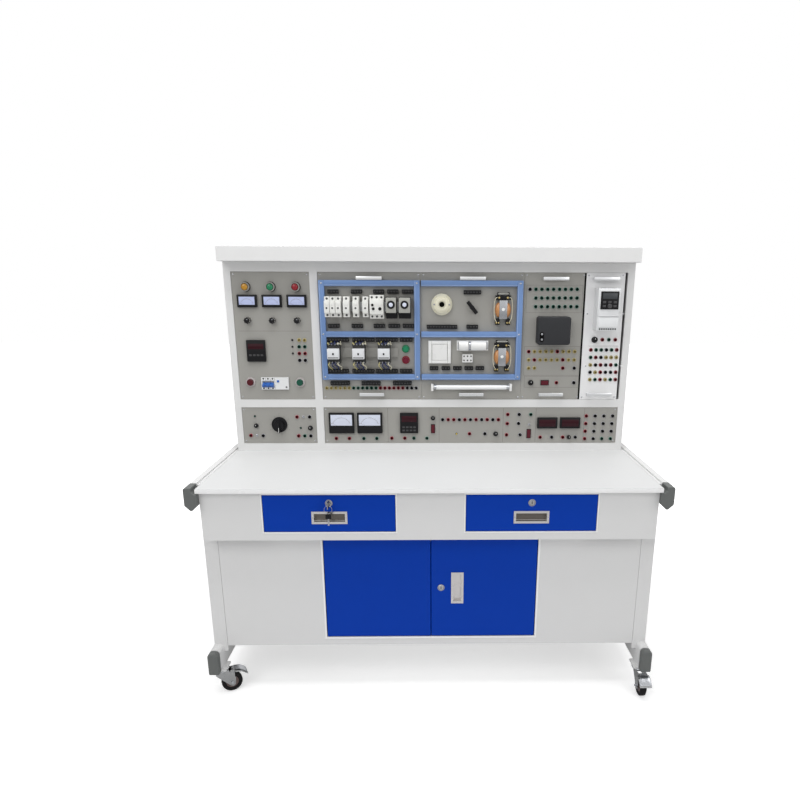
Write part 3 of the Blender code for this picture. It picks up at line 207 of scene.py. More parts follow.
def coat_node(node, look):
    """Gives a carried-over solid its finish."""
    obj = frame["nodes"][node]
    obj.data.materials.clear()
    obj.data.materials.append(look)
    obj.data.shade_smooth()
    obj.data.set_sharp_from_angle(angle=math.radians(35))


def add_block(shape, low, high, edge=0.0, slot=0):
    """A block between two corners, with its edges rounded."""
    size = Vector(high) - Vector(low)
    middle = (Vector(high) + Vector(low)) / 2
    made = bmesh.ops.create_cube(shape, size=1,
                                 matrix=Matrix.Translation(middle) @ Matrix.Diagonal((*size, 1)))
    for face in {f for v in made["verts"] for f in v.link_faces}:
        face.material_index = slot
    if edge:
        edges = list({e for v in made["verts"] for e in v.link_edges})
        bmesh.ops.bevel(shape, geom=edges, offset=edge, segments=2, profile=0.6, affect="EDGES",
                        material=slot)


def add_turned(shape, profile, centre, outward=(0, -1, 0), sides=20, slots=None):
    """Turns (radius, height) points round the line from centre along outward; slots colours each band."""
    out = Vector(outward).normalized()
    across = out.orthogonal().normalized()
    up = out.cross(across)
    rows = []
    for radius, height in profile:
        middle = Vector(centre) + out * height
        if radius == 0:
            rows.append([shape.verts.new(middle)])
            continue
        turns = [2 * math.pi * k / sides for k in range(sides)]
        rows.append([
            shape.verts.new(middle + (across * math.cos(t) + up * math.sin(t)) * radius) for t in turns
        ])
    for band, (one, two) in enumerate(zip(rows, rows[1:])):
        for k in range(sides):
            n = (k + 1) % sides
            corners = [one[k % len(one)], two[k % len(two)], two[n % len(two)], one[n % len(one)]]
            face = shape.faces.new(list(dict.fromkeys(corners)))
            face.material_index = slots[band] if slots else 0


def settle(name, shape, looks, body="bench"):
    """Makes the shape a piece of the bench that rides on a body, with the given finishes."""
    bmesh.ops.recalc_face_normals(shape, faces=shape.faces)
    mesh = bpy.data.meshes.new(name)
    shape.to_mesh(mesh)
    shape.free()
    for look in looks:
        mesh.materials.append(look)
    mesh.shade_smooth()
    mesh.set_sharp_from_angle(angle=math.radians(35))
    obj = bpy.data.objects.new(name, mesh)
    bpy.context.scene.collection.objects.link(obj)
    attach(obj, body)
    return obj


white_coat = finish("white_powder_coat", (0.745, 0.745, 0.742), 0.42, grain=900, bump=0.05, mottle=0.012,
                    shine=0.3)
cap_plastic = finish("end_cap_plastic", (0.135, 0.142, 0.138), 0.5, grain=1500, bump=0.12, mottle=0.05,
                     shine=0.25)
for side in ("left", "right"):
    coat_node(f"side_frame_{side}", white_coat)
    coat_node(f"rail_cap_{side}", cap_plastic)
    coat_node(f"foot_cap_{side}", cap_plastic)

rear_cap = 0.004
rear_lip = 0.0012
for side in ("left", "right"):
    caps = bmesh.new()
    for cap_node in (f"rail_cap_{side}", f"foot_cap_{side}"):
        low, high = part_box(cap_node)
        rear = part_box(f"side_frame_{side}")[1][1]
        grow = rear_lip if "foot" in cap_node else 0
        add_block(caps, (low[0] - grow, rear, low[2] + rear_lip),
                  (high[0] + grow, rear + rear_cap, high[2] + grow), rear_lip)
    settle(f"rear_caps_{side}", caps, [cap_plastic])

# Desk board
# A 16 mm board faced with white laminate, laid on the ledges of the rails, with an edge band painted
# brighter as a highlight.
desk_laminate = finish("desk_laminate", (0.69, 0.695, 0.695), 0.5, grain=500, bump=0.015, mottle=0.006,
                       shine=0.25)
# The edge finish is a brighter copy of the white: a painted highlight on the desk edge and the lips.
edge_highlight_paint = finish("desk_edge_highlight_band", (0.93, 0.93, 0.93), 0.3, grain=900, bump=0.02, mottle=0.01)
coat_node("desktop", desk_laminate)
band_thickness = 0.0008
band = bmesh.new()
add_block(band, (desk_low.x + band_thickness, desk_low.y - band_thickness, desk_low.z + band_thickness),
          (desk_high.x - band_thickness, desk_low.y, desk_high.z - band_thickness * 3), band_thickness / 3)
settle("desk_edge_highlight_band", band, [edge_highlight_paint])
rail_slot_width = 0.0101
slot_play = 0.0002
slot_edge = 0.0008
cap_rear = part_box("rail_cap_left")[1][1]
slot_trim = bmesh.new()
for sign, edge_x in ((-1, desk_low.x), (1, desk_high.x)):
    ends = sorted((edge_x + sign * slot_play, edge_x + sign * rail_slot_width))
    add_block(slot_trim, (ends[0], cap_rear + slot_play, desk_low.z),
              (ends[1], desk_high.y, desk_high.z - slot_play), slot_edge)
settle("rail_slot_trim", slot_trim, [white_coat])

# Casters
# Black tyres on grey cores turn on bolted axles between zinc plated fork cheeks. The front pair has brake
# pedals of pressed steel with a turned-up lip.
zinc = finish("zinc_plate", (0.36, 0.365, 0.37), 0.3, metal=1.0, grain=420, bump=0.1, mottle=0.12,
              spread=0.12)
tyre = finish("tyre_rubber", (0.010, 0.009, 0.010), 0.62, grain=900, bump=0.35, mottle=0.3, shine=0.15)
core = finish("wheel_core", (0.13, 0.085, 0.08), 0.5, grain=700, bump=0.2, mottle=0.15)
steel_bolt = finish("bolt_steel", (0.42, 0.43, 0.45), 0.26, metal=1.0, grain=900, bump=0.08, mottle=0.1)
dark_gap = finish("dark_gap", (0.004, 0.004, 0.004), 0.7, grain=900, bump=0.05, mottle=0.2, shine=0.05)
joints = {joint["name"]: joint for joint in frame["record"]["behaviour"]["joints"]}
wheel_radius = 0.0375
tread_half = 0.0118
core_radius = 0.0245
hub_radius = 0.0095
bolt_radius = 0.0062
for corner in ("front_left", "front_right", "rear_left", "rear_right"):
    roll = joints[f"roll_{corner}"]
    centre = Vector(roll["pos_m"])
    axle = Vector(roll["axis"]).normalized()
    wheel = bmesh.new()
    profile, bands = [], []
    for sign in (-1, 1):
        half = [
            (0.0045, 0.0108, 1), (hub_radius, 0.0108, 1), (hub_radius + 0.0015, 0.0085, 1),
            (core_radius - 0.002, 0.0085, 1), (core_radius, 0.0105, 0),
            (wheel_radius - 0.005, tread_half, 0),
            (wheel_radius - 0.0012, tread_half - 0.0022, 0), (wheel_radius, tread_half - 0.006, 0),
        ]
        rows = half if sign < 0 else half[::-1]
        profile += [(radius, sign * height) for radius, height, look in rows]
        bands += [look for radius, height, look in rows]
    add_turned(wheel, profile, centre, axle, 48, [min(a, b) for a, b in zip(bands, bands[1:])])
    for k in range(6):
        turn = Matrix.Rotation(math.radians(60 * k), 4, axle)
        for sign in (-1, 1):
            place = centre + turn @ (axle.cross(Vector((0, 0, 1))) * (hub_radius + core_radius) / 2)
            add_turned(wheel, ((0, 0.0092), (0.0022, 0.0092), (0.0026, 0.0080)), place, axle * sign, 10,
                       [1, 1])
    wheel_piece = settle(f"tyre_{corner}", wheel, [tyre, core], f"caster_wheel_{corner}")
    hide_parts(f"caster_wheel_{corner}")

    coat_node(f"caster_fork_{corner}", zinc)
    swivel = Vector(joints[f"swivel_{corner}"]["pos_m"])
    fittings = bmesh.new()
    for sign in (-1, 1):
        add_turned(fittings, ((bolt_radius, 0.0165), (bolt_radius, 0.0205), (bolt_radius * 0.8, 0.0215),
                              (0, 0.0215)), centre, axle * sign, 6)
        add_turned(fittings, ((0.0035, 0.0205), (0.0035, 0.0238), (0.0028, 0.0246), (0, 0.0246)), centre,
                   axle * sign, 16)
    add_turned(fittings, ((0.0265, -0.0012), (0.0285, 0.0002), (0.0272, 0.0022), (0.0215, 0.0026)),
               swivel, (0, 0, 1), 40)
    settle(f"axle_bolt_{corner}", fittings, [steel_bolt], f"caster_fork_{corner}")

pedal_lip = 0.0022
for corner in ("front_left", "front_right"):
    coat_node(f"brake_pedal_{corner}", zinc)
    brake = joints[f"brake_{corner}"]
    axle = Vector(brake["axis"]).normalized()
    pivot = Vector(brake["pos_m"])
    ahead = axle.cross(Vector((0, 0, 1)))
    plate = bmesh.new()
    turn = Matrix((ahead, axle, Vector((0, 0, 1)))).transposed().to_4x4()
    steps = ((0.0060, 0.0032, 0.0125), (0.0230, 0.0030, 0.0150), (0.0360, -0.0050, 0.0215),
             (0.0500, -0.0160, 0.0222))
    rows = []
    for reach, rise, half in steps:
        rows.append([
            plate.verts.new(pivot + turn @ Vector((reach, side * half, rise + lift)))
            for side, lift in ((-1, pedal_lip), (-0.86, 0), (0, 0.0006), (0.86, 0), (1, pedal_lip))
        ])
    for one, two in zip(rows, rows[1:]):
        for k in range(len(one) - 1):
            plate.faces.new((one[k], one[k + 1], two[k + 1], two[k]))
    pressed = settle(f"pedal_plate_{corner}", plate, [steel_bolt], f"brake_pedal_{corner}")
    thick = pressed.modifiers.new("sheet", "SOLIDIFY")
    thick.thickness = 0.0012
    smooth = pressed.modifiers.new("pressed", "SUBSURF")
    smooth.levels = smooth.render_levels = 2

# Apron and drawers
# The apron is folded white sheet. Each drawer has a blue powder coated face and a zinc plated tray, a
# pressed cup handle let into the face and a cam lock. One key stands in the left lock, one hangs from it.
blue_coat = finish("blue_powder_coat", (0.0018, 0.045, 0.40), 0.4, grain=900, bump=0.05, mottle=0.03,
                   shine=0.08)
cup_steel = finish("cup_handle_steel", (0.60, 0.58, 0.57), 0.3, metal=1.0, grain=300, bump=0.08, mottle=0.1,
                   stretch=(1, 1, 14))
key_steel = finish("key_steel", (0.40, 0.40, 0.42), 0.24, metal=1.0, grain=700, bump=0.06, mottle=0.1)
# Dark finish for a plate inside each cup handle: painted shade in the bowl.
cup_shade_paint = finish("cup_painted_shade", (0.13, 0.115, 0.10), 0.4, metal=0.6, grain=300, bump=0.08,
                    mottle=0.25, stretch=(1, 1, 14))
coat_node("drawer_housing", white_coat)
drawer_lip = 0.0045
drawer_play = 0.0016
lip_depth = 0.0013
apron_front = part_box("drawer_housing")[0][1]
for side in ("left", "right"):
    low, high = (Vector(v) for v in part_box(f"drawer_{side}"))
    inner_low = (low.x - drawer_play, low.z - drawer_play)
    inner_high = (high.x + drawer_play, high.z + drawer_play)
    # The lips round each drawer are painted brighter than the apron as a highlight.
    edging = bmesh.new()
    for x in (inner_low[0] - drawer_lip, inner_high[0]):
        add_block(edging, (x, apron_front - lip_depth, inner_low[1] - drawer_lip),
                  (x + drawer_lip, apron_front, inner_high[1] + drawer_lip), lip_depth / 3)
    for z in (inner_low[1] - drawer_lip, inner_high[1]):
        add_block(edging, (inner_low[0], apron_front - lip_depth, z),
                  (inner_high[0], apron_front, z + drawer_lip), lip_depth / 3)
    settle(f"drawer_lip_{side}", edging, [edge_highlight_paint])
lock_ring_profile = ((0.0107, 0.0), (0.0128, 0.0), (0.0124, 0.0014), (0.0107, 0.0017))


def add_key_slit(shape, lock):
    """The dark slit in the face of a cam lock."""
    add_block(shape, (lock.x - 0.0011, lock.y - 0.0034, lock.z - 0.005),
              (lock.x + 0.0011, lock.y - 0.0029, lock.z + 0.005))


for side in ("left", "right"):
    coat_node(f"drawer_{side}", blue_coat)
    coat_node(f"drawer_handle_{side}", cup_steel)
    coat_node(f"drawer_lock_{side}", key_steel)
    lock = Vector(joints[f"drawer_lock_{side}_turn"]["pos_m"])
    low, high = (Vector(v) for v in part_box(f"drawer_handle_{side}"))
    trim = bmesh.new()
    add_turned(trim, lock_ring_profile, lock, sides=32)
    for x in (low.x + 0.004, high.x - 0.004):
        add_turned(trim, ((0.0019, 0), (0.0017, 0.0008), (0, 0.0010)), (x, low.y, (low.z + high.z) / 2),
                   sides=12)
    settle(f"drawer_trim_{side}", trim, [key_steel], f"drawer_{side}")
    # A dark plate set into the cup: painted shade in the handle's bowl.
    recess = bmesh.new()
    add_block(recess, (low.x + 0.009, high.y - 0.0050, low.z + 0.010),
              (high.x - 0.009, high.y - 0.0018, high.z - 0.010), 0.001)
    settle(f"handle_painted_shade_{side}", recess, [cup_shade_paint], f"drawer_{side}")
    if side == "right":
        slit = bmesh.new()
        add_key_slit(slit, lock)
        settle("key_slit_right", slit, [dark_gap], "drawer_lock_right")

key_black = finish("key_head_plastic", (0.005, 0.005, 0.008), 0.4, grain=900, bump=0.1, mottle=0.2,
                   shine=0.2)
lock = Vector(joints["drawer_lock_left_turn"]["pos_m"])
head = bmesh.new()
head_half = 0.0021
head_edge = 0.0012
head_limits = (
    (-0.0335, -0.0265, -0.0105, 0.0105), (-0.0275, -0.0125, -0.0105, -0.0055),
    (-0.0275, -0.0125, 0.0055, 0.0105),
)
for front_y, rear_y, low_z, high_z in head_limits:
    add_block(head, (lock.x - head_half, lock.y + front_y, lock.z + low_z),
              (lock.x + head_half, lock.y + rear_y, lock.z + high_z), head_edge)
settle("key_head", head, [key_black], "drawer_lock_left")


def sweep(name, runs, radius, looks, body="bench", closed=False):
    """Round wire along each run of points, as one piece."""
    data = bpy.data.curves.new(name, "CURVE")
    data.dimensions = "3D"
    data.bevel_depth = radius
    data.bevel_resolution = 2
    data.use_fill_caps = True
    for points in runs:
        line = data.splines.new("NURBS")
        line.points.add(len(points) - 1)
        for knot, place in zip(line.points, points):
            knot.co = (*place, 1)
        line.order_u = 3
        line.resolution_u = 6
        line.use_endpoint_u = not closed
        line.use_cyclic_u = closed
    for look in looks:
        data.materials.append(look)
    obj = bpy.data.objects.new(name, data)
    bpy.context.scene.collection.objects.link(obj)
    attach(obj, body)
    return obj


ring_radius = 0.0135
ring_middle = lock + Vector((0, -0.0235, -0.0155))
ring = [
    ring_middle + Vector((math.sin(math.radians(a)) * ring_radius, math.cos(math.radians(a)) * 0.002,
                          math.cos(math.radians(a)) * ring_radius))
    for a in range(0, 360, 30)
]
sweep("key_ring", [ring], 0.0007, [key_steel], "drawer_left", closed=True)
spare_top = ring_middle + Vector((0, 0, -ring_radius))
spare = bmesh.new()
add_block(spare, spare_top + Vector((-0.0095, -0.0011, -0.0190)),
          spare_top + Vector((0.0095, 0.0011, -0.0035)), 0.001)
add_turned(spare, ((0.0030, 0), (0.0052, 0), (0.0052, 0.0026), (0.0030, 0.0026), (0.0030, 0)),
           spare_top + Vector((0, 0.0013, -0.0012)), sides=20)
add_block(spare, spare_top + Vector((-0.0030, -0.0009, -0.0420)),
          spare_top + Vector((0.0030, 0.0009, -0.0180)), 0.0004, 1)
settle("spare_key", spare, [key_black, key_steel], "drawer_left")

# Base cabinet and doors
# Folded white sheet closes the space between the columns, with a narrow raised lip round the doorway,
# painted brighter than the sheet as a highlight. Two blue doors hang on pins; the right one has the upright
# cup handle and the lock.
coat_node("base_cabinet", white_coat)
coat_node("door_left", blue_coat)
coat_node("door_right", blue_coat)
coat_node("door_handle", cup_steel)
coat_node("door_lock", key_steel)
lip = 0.007
lip_proud = 0.0015
left_low = Vector(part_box("door_left")[0])
right_high = Vector(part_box("door_right")[1])
pin_reach = 0.0097
door_gap = 0.002
hole_low = (left_low.x - door_gap, left_low.z + pin_reach - door_gap)
hole_high = (right_high.x + door_gap, right_high.z - pin_reach + door_gap)
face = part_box("base_cabinet")[0][1]
rim = bmesh.new()
for x in (hole_low[0] - lip, hole_high[0]):
    add_block(rim, (x, face - lip_proud, hole_low[1] - lip), (x + lip, face, hole_high[1] + lip),
              lip_proud / 3)
for z in (hole_low[1] - lip, hole_high[1]):
    add_block(rim, (hole_low[0], face - lip_proud, z), (hole_high[0], face, z + lip), lip_proud / 3)
# The lip is painted brighter than the sheet as a highlight round the doorway.
settle("doorway_lip", rim, [edge_highlight_paint])
lock = Vector(joints["door_lock_turn"]["pos_m"])
trim = bmesh.new()
add_turned(trim, lock_ring_profile, lock, sides=32)
settle("door_lock_ring", trim, [key_steel], "door_right")
slit = bmesh.new()
add_key_slit(slit, lock)
settle("key_slit_door", slit, [dark_gap], "door_lock")

# Cabinet, rear cover and canopy
# White powder coated sheet. The rear cover is screwed in all round and has rows of pressed louvres that
# let the heat of the devices out.
for node in ("cabinet_frame", "rear_cover", "canopy"):
    coat_node(node, white_coat)
cover_low, cover_high = (Vector(v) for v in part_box("rear_cover"))
louvre = (0.11, 0.0035, 0.008)
louvres = bmesh.new()
for block_x in (-0.42, 0.42):
    for k in range(12):
        z = cover_high.z - 0.11 - k * 0.022
        for column in (-1, 1):
            x = block_x + column * louvre[0] * 0.6
            low = Vector((x - louvre[0] / 2, cover_high.y - 0.0005, z - louvre[2] / 2))
            high = Vector((x + louvre[0] / 2, cover_high.y + louvre[1], z + louvre[2] / 2))
            add_block(louvres, low, high, 0.0012)
            add_block(louvres, low + Vector((0.004, 0.0005, -0.0012)),
                      Vector((high.x - 0.004, cover_high.y + 0.0022, low.z + 0.0006)), 0, 1)
settle("rear_louvres", louvres, [white_coat, dark_gap])
screws = bmesh.new()
cover_inset = 0.012
screw_profile = ((0.0038, 0), (0.0036, 0.0012), (0.0022, 0.0022), (0, 0.0025))
for k in range(7):
    x = cover_low.x + cover_inset + (cover_high.x - cover_low.x - cover_inset * 2) * k / 6
    for z in (cover_low.z + cover_inset, cover_high.z - cover_inset):
        add_turned(screws, screw_profile, (x, cover_high.y, z), (0, 1, 0), 12)
for z_share in (0.34, 0.66):
    z = cover_low.z + (cover_high.z - cover_low.z) * z_share
    for x in (cover_low.x + cover_inset, cover_high.x - cover_inset):
        add_turned(screws, screw_profile, (x, cover_high.y, z), (0, 1, 0), 12)
settle("rear_screws", screws, [steel_bolt])

# Panels and boards
# Grey satin sheet with printed lines, set into the cabinet's openings. The boards lift out by two bar
# handles each; a fourth, white board carries the drive.
panel_grey = finish("panel_grey", (0.345, 0.338, 0.315), 0.5, grain=1200, bump=0.06, mottle=0.03,
                    shine=0.25)
board_white = finish("drive_board_white", (0.82, 0.82, 0.825), 0.42, grain=1200, bump=0.04, mottle=0.012,
                     shine=0.3)
for node in ("control_panel", "lower_left_panel", "lower_strip", "board_a", "board_b", "board_c"):
    coat_node(node, panel_grey)
coat_node("drive_board", board_white)
panel_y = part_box("lower_left_panel")[0][1]
sight_right = camera_turn.to_3x3() @ Vector((1, 0, 0))
sight_up = camera_turn.to_3x3() @ Vector((0, 1, 0))
sight_ahead = camera_turn.to_3x3() @ Vector((0, 0, -1))


def seen(u, v, proud=0.0):
    """The place in front of the panels that shows at a pixel of the photograph."""
    line = sight_ahead * sight_length_px + sight_right * (u - axis_px[0]) - sight_up * (v - axis_px[1])
    return camera_place + line * ((panel_y - proud - camera_place.y) / line.y)


def placed(node, x_share, z_share, proud=0.0):
    """The place at a share of a panel's width and height."""
    low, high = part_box(node)
    return Vector((low[0] + (high[0] - low[0]) * x_share, panel_y - proud,
                   low[2] + (high[2] - low[2]) * z_share))


handle_steel = finish("bar_handle_steel", (0.72, 0.73, 0.74), 0.28, metal=1.0, grain=260, bump=0.06,
                      mottle=0.08, stretch=(1, 14, 14))
bar = Vector((0.0970, 0.0060, 0.0130))
bar_stand = 0.0155
bar_margin = 0.0215
for node in ("board_a", "board_b", "board_c", "drive_board"):
    low, high = (Vector(v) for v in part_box(node))
    middle = (low.x + high.x) / 2
    grips = bmesh.new()
    for z in (low.z + bar_margin, high.z - bar_margin):
        far = panel_y - bar_stand
        add_block(grips, (middle - bar.x / 2, far - bar.y, z - bar.z / 2),
                  (middle + bar.x / 2, far, z + bar.z / 2), 0.002)
        for side in (-1, 1):
            x = middle + side * (bar.x / 2 - 0.005)
            add_block(grips, (x - 0.0052, far - bar.y / 2, z - 0.0042),
                      (x + 0.0052, panel_y - 0.0002, z + 0.0042), 0.001)
    settle(f"bar_handles_{node}", grips, [handle_steel])

ink = finish("printed_ink", (0.15, 0.145, 0.135), 0.5, grain=900, bump=0.02, mottle=0.1)
ink_height = 0.00015
line_width = 0.0009


def add_line(shape, start, end, width=line_width):
    """A printed line between two places on the panels, along X or Z."""
    half = Vector((width / 2, 0, width / 2))
    low = Vector((min(start.x, end.x), panel_y - ink_height, min(start.z, end.z))) - half
    high = Vector((max(start.x, end.x), panel_y, max(start.z, end.z))) + half
    add_block(shape, low, high)


def add_outline(shape, corner, far_corner):
    """A printed frame between two opposite corners."""
    a, c = corner, far_corner
    b, d = Vector((c.x, a.y, a.z)), Vector((a.x, a.y, c.z))
    for start, end in ((a, b), (b, c), (c, d), (d, a)):
        add_line(shape, start, end)


printed = bmesh.new()
level_line_pixels = (((238.5, 331.0), (309.5, 331.2)), ((588.5, 346.0), (618.5, 346.0)))
outline_pixels = (
    ((526.9, 285.1), (581.5, 312.7)), ((524.5, 346.5), (578.5, 375.3)), ((524.5, 376.3), (577.8, 387.3)),
)
for first, last in level_line_pixels:
    start = seen(*first)
    add_line(printed, start, Vector((seen(*last).x, 0, start.z)))
for corner, far_corner in outline_pixels:
    add_outline(printed, seen(*corner), seen(*far_corner))
# A dark strip along the right edge of board C, at its seam with the drive board: painted shadow of the
# recess there.
gap_low, gap_high = (Vector(v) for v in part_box("board_c"))
gap_shadow_width = 0.0065
gap_shadow_strip = bmesh.new()
add_block(gap_shadow_strip, (gap_high.x - gap_shadow_width, panel_y - 0.0004, gap_low.z + 0.001),
          (gap_high.x - 0.0002, panel_y + 0.0005, gap_high.z - 0.001))
settle("board_gap_shadow", gap_shadow_strip, [dark_gap])
seam_shares = (0.216, 0.391, 0.610, 0.722, 0.888)
for share in seam_shares:
    add_line(printed, placed("lower_strip", share, 0.03), placed("lower_strip", share, 0.97), 0.0012)
settle("printed_lines", printed, [ink])

# Sockets
# Safety sockets of moulded plastic, screwed through the panels: a coloured collar round a deep hole with a
# plated contact at its bottom. The inside of the hole is painted dark as shade, a darker yellow in the
# yellow ones.
socket_looks = {
    "red": finish("red_socket", (0.16, 0.004, 0.012), 0.42, grain=900, bump=0.05, mottle=0.06, shine=0.15),
    "green": finish("green_socket", (0.002, 0.050, 0.034), 0.42, grain=900, bump=0.05, mottle=0.06,
                    shine=0.15),
    "yellow": finish("yellow_socket", (0.40, 0.33, 0.13), 0.42, grain=900, bump=0.05, mottle=0.06,
                     shine=0.2),
    "black": finish("black_socket", (0.004, 0.004, 0.006), 0.36, grain=900, bump=0.05, mottle=0.1,
                    shine=0.15),
}
# Pale rims round the sockets: lighter copies of the socket colours, painted as a reflected highlight.
socket_rim_highlights = {
    "red": finish("red_rim_highlight", (0.48, 0.30, 0.30), 0.45, grain=900, bump=0.05, mottle=0.05),
    "green": finish("green_rim_highlight", (0.33, 0.42, 0.37), 0.45, grain=900, bump=0.05, mottle=0.05),
    "yellow": finish("yellow_rim_highlight", (0.42, 0.39, 0.28), 0.45, grain=900, bump=0.05, mottle=0.05),
    "black": finish("black_rim_highlight", (0.44, 0.44, 0.46), 0.45, grain=900, bump=0.05, mottle=0.05),
}
# A darker copy of the yellow, painted as the shade inside the yellow sockets' holes.
yellow_hole_shade = finish("yellow_hole_shade", (0.20, 0.15, 0.05), 0.5, grain=900, bump=0.05, mottle=0.1)
socket_radius = 0.0065
socket_profile = (
    (socket_radius + 0.0017, 0.0), (socket_radius + 0.0017, 0.0010), (socket_radius + 0.0001, 0.0014),
    (socket_radius, 0.0050), (socket_radius - 0.0009, 0.0058), (0.0042, 0.0058), (0.0038, 0.0052),
    (0.0038, 0.0008), (0, 0.0008),
)
socket_bands = [2, 2, 0, 0, 0, 1, 1, 1]


def add_sockets(name, rows, radius_share=1.0):
    """Sockets given as (colours, first pixel, last pixel); each letter of the colours is one socket."""
    letters = {"r": "red", "g": "green", "y": "yellow", "k": "black"}
    shapes = {}
    for colours, first, last in rows:
        for k, letter in enumerate(colours):
            if letter == " ":
                continue
            share = k / max(1, len(colours) - 1)
            place = seen(first[0] + (last[0] - first[0]) * share, first[1] + (last[1] - first[1]) * share)
            shape = shapes.setdefault(letters[letter], bmesh.new())
            profile = [(radius * radius_share, height) for radius, height in socket_profile]
            add_turned(shape, profile, place, sides=16, slots=socket_bands)
    for colour, shape in shapes.items():
        # Inside of each hole: painted shade, near-black, or darker yellow in the yellow sockets.
        hole = yellow_hole_shade if colour == "yellow" else dark_gap
        settle(f"{name}_{colour}_sockets", shape, [socket_looks[colour], hole, socket_rim_highlights[colour]])


socket_pixels = {
    "control_panel": (
        ("yy", (299.2, 339.9), (304.6, 340.1)), ("gg", (299.3, 346.7), (304.9, 346.7)),
        ("rr", (299.5, 353.4), (305.2, 353.4)), ("kk", (299.9, 360.2), (305.5, 360.2)),
    ),
    "board_a": (("yyyyyyggggggrrrrrrkkk", (327.0, 387.9), (416.2, 387.9)),),
    "board_c": (
        ("kgggggggg", (530.0, 289.3), (577.1, 289.3)), (" gggggggg", (529.9, 298.0), (576.8, 298.0)),
        (" gggggggg", (529.7, 306.6), (576.6, 306.6)),
        ("ryyyyryyy", (528.6, 351.5), (574.5, 351.5)), ("yryyyyryy", (528.6, 359.8), (574.0, 359.8)),
        ("yy    r k", (528.5, 368.0), (574.0, 368.0)), ("r", (556.3, 382.6), (556.3, 382.6)),
        ("k", (573.6, 382.6), (573.6, 382.6)),
    ),
    "drive_board": (
        ("rgr", (602.3, 339.7), (615.2, 339.7)), ("rggkgr", (590.8, 349.9), (616.6, 349.9)),
        ("grkyyy", (590.5, 357.4), (616.2, 357.4)), ("ykrkrg", (590.2, 364.9), (615.8, 364.9)),
        ("kyrkkr", (589.9, 372.2), (615.5, 372.2)), ("ygrygr", (589.7, 379.5), (615.2, 379.5)),
    ),
    "lower_left": (
        ("r", (251.1, 435.3), (251.1, 435.3)), ("k", (263.4, 435.5), (263.4, 435.5)),
        ("r k", (297.1, 416.8), (309.7, 416.8)), ("rgk", (298.9, 435.7), (311.0, 435.7)),
    ),
    "lower_strip": (
        ("rr", (336.5, 438.3), (349.5, 438.3)), ("gg", (363.9, 438.3), (376.9, 438.3)),
        ("rr", (391.9, 438.0), (404.8, 438.0)), ("gg", (413.9, 438.0), (426.9, 438.0)),
        ("krrkrkrkrkr", (442.6, 419.5), (498.3, 419.5)), ("rk", (469.5, 433.6), (484.8, 433.6)),
        ("rk", (507.7, 414.3), (519.1, 414.3)), ("rk", (507.2, 423.4), (518.5, 423.3)),
        ("rk", (506.4, 434.6), (519.9, 434.6)), ("g", (530.7, 414.4), (530.7, 414.4)),
        ("rk", (540.0, 437.0), (551.5, 437.0)), ("rk", (562.6, 437.0), (575.0, 437.0)),
        ("rkkk", (586.2, 415.8), (612.4, 415.8)), ("rkkk", (585.6, 423.4), (611.6, 423.4)),
        ("rkkk", (585.0, 431.0), (610.9, 431.0)), ("rkgg", (584.4, 438.5), (610.1, 438.5)),
    ),
}
small_socket_boards = ("board_a", "drive_board")
small_socket_share = 0.95
for board, rows in socket_pixels.items():
    add_sockets(board, rows, small_socket_share if board in small_socket_boards else 1.0)

# Pilot lamps, fuse holders and small knobs
# Domed coloured lenses in dark bezels; black fuse caps, each with a small steel patch painted on its head as
# a highlight; little black knobs with a white mark.
lens_looks = {
    "amber": finish("amber_lens", (0.50, 0.24, 0.015), 0.2, grain=300, bump=0.12, mottle=0.1),
    "green": finish("green_lens", (0.008, 0.20, 0.085), 0.2, grain=300, bump=0.12, mottle=0.1),
    "red": finish("red_lens", (0.26, 0.004, 0.012), 0.2, grain=300, bump=0.12, mottle=0.1),
}
black_moulding = finish("black_moulding", (0.006, 0.006, 0.007), 0.4, grain=1100, bump=0.08, mottle=0.15,
                        shine=0.2)
lamp_proud = 0.016
lens_radius = 0.0120
bezel_radius = 0.0175
column_shares = (0.177, 0.500, 0.820)
for share, colour in zip(column_shares, lens_looks):
    place = placed("control_panel", share, 0.887)
    lens = bmesh.new()
    dome = [(lens_radius * math.cos(math.radians(a)), lamp_proud + 0.0052 * math.sin(math.radians(a)))
            for a in range(0, 90, 15)] + [(0, lamp_proud + 0.0052)]
    profile = [(bezel_radius + 0.0015, 0), (bezel_radius + 0.0015, 0.0015), (bezel_radius, 0.0025),
               (bezel_radius, 0.005), (lens_radius + 0.0017, 0.0055),
               (lens_radius + 0.0017, lamp_proud)] + dome
    add_turned(lens, profile, place, sides=32, slots=[1, 1, 1, 1, 1, 0] + [0] * len(dome))
    settle(f"pilot_lens_{colour}", lens, [lens_looks[colour], black_moulding])
fuses = bmesh.new()
for share in column_shares:
    place = placed("control_panel", share, 0.631)
    add_turned(fuses, ((0.0118, 0), (0.0118, 0.0015), (0.0108, 0.0030), (0.0108, 0.0198), (0.0096, 0.0212),
                       (0, 0.0212)), place, sides=24)
    for k in range(8):
        a = math.radians(45 * k)
        rib = place + Vector((math.cos(a) * 0.0112, 0, math.sin(a) * 0.0112))
        add_block(fuses, rib + Vector((-0.0012, -0.0195, -0.0012)), rib + Vector((0.0012, -0.0050, 0.0012)),
                  0.0004)
    # A small steel patch off the middle of each fuse cap: painted highlight.
    add_block(fuses, place + Vector((-0.0016, -0.0216, 0.0030)), place + Vector((0.0040, -0.0211, 0.0052)),
              0, 1)
settle("fuse_holders", fuses, [black_moulding, steel_bolt])

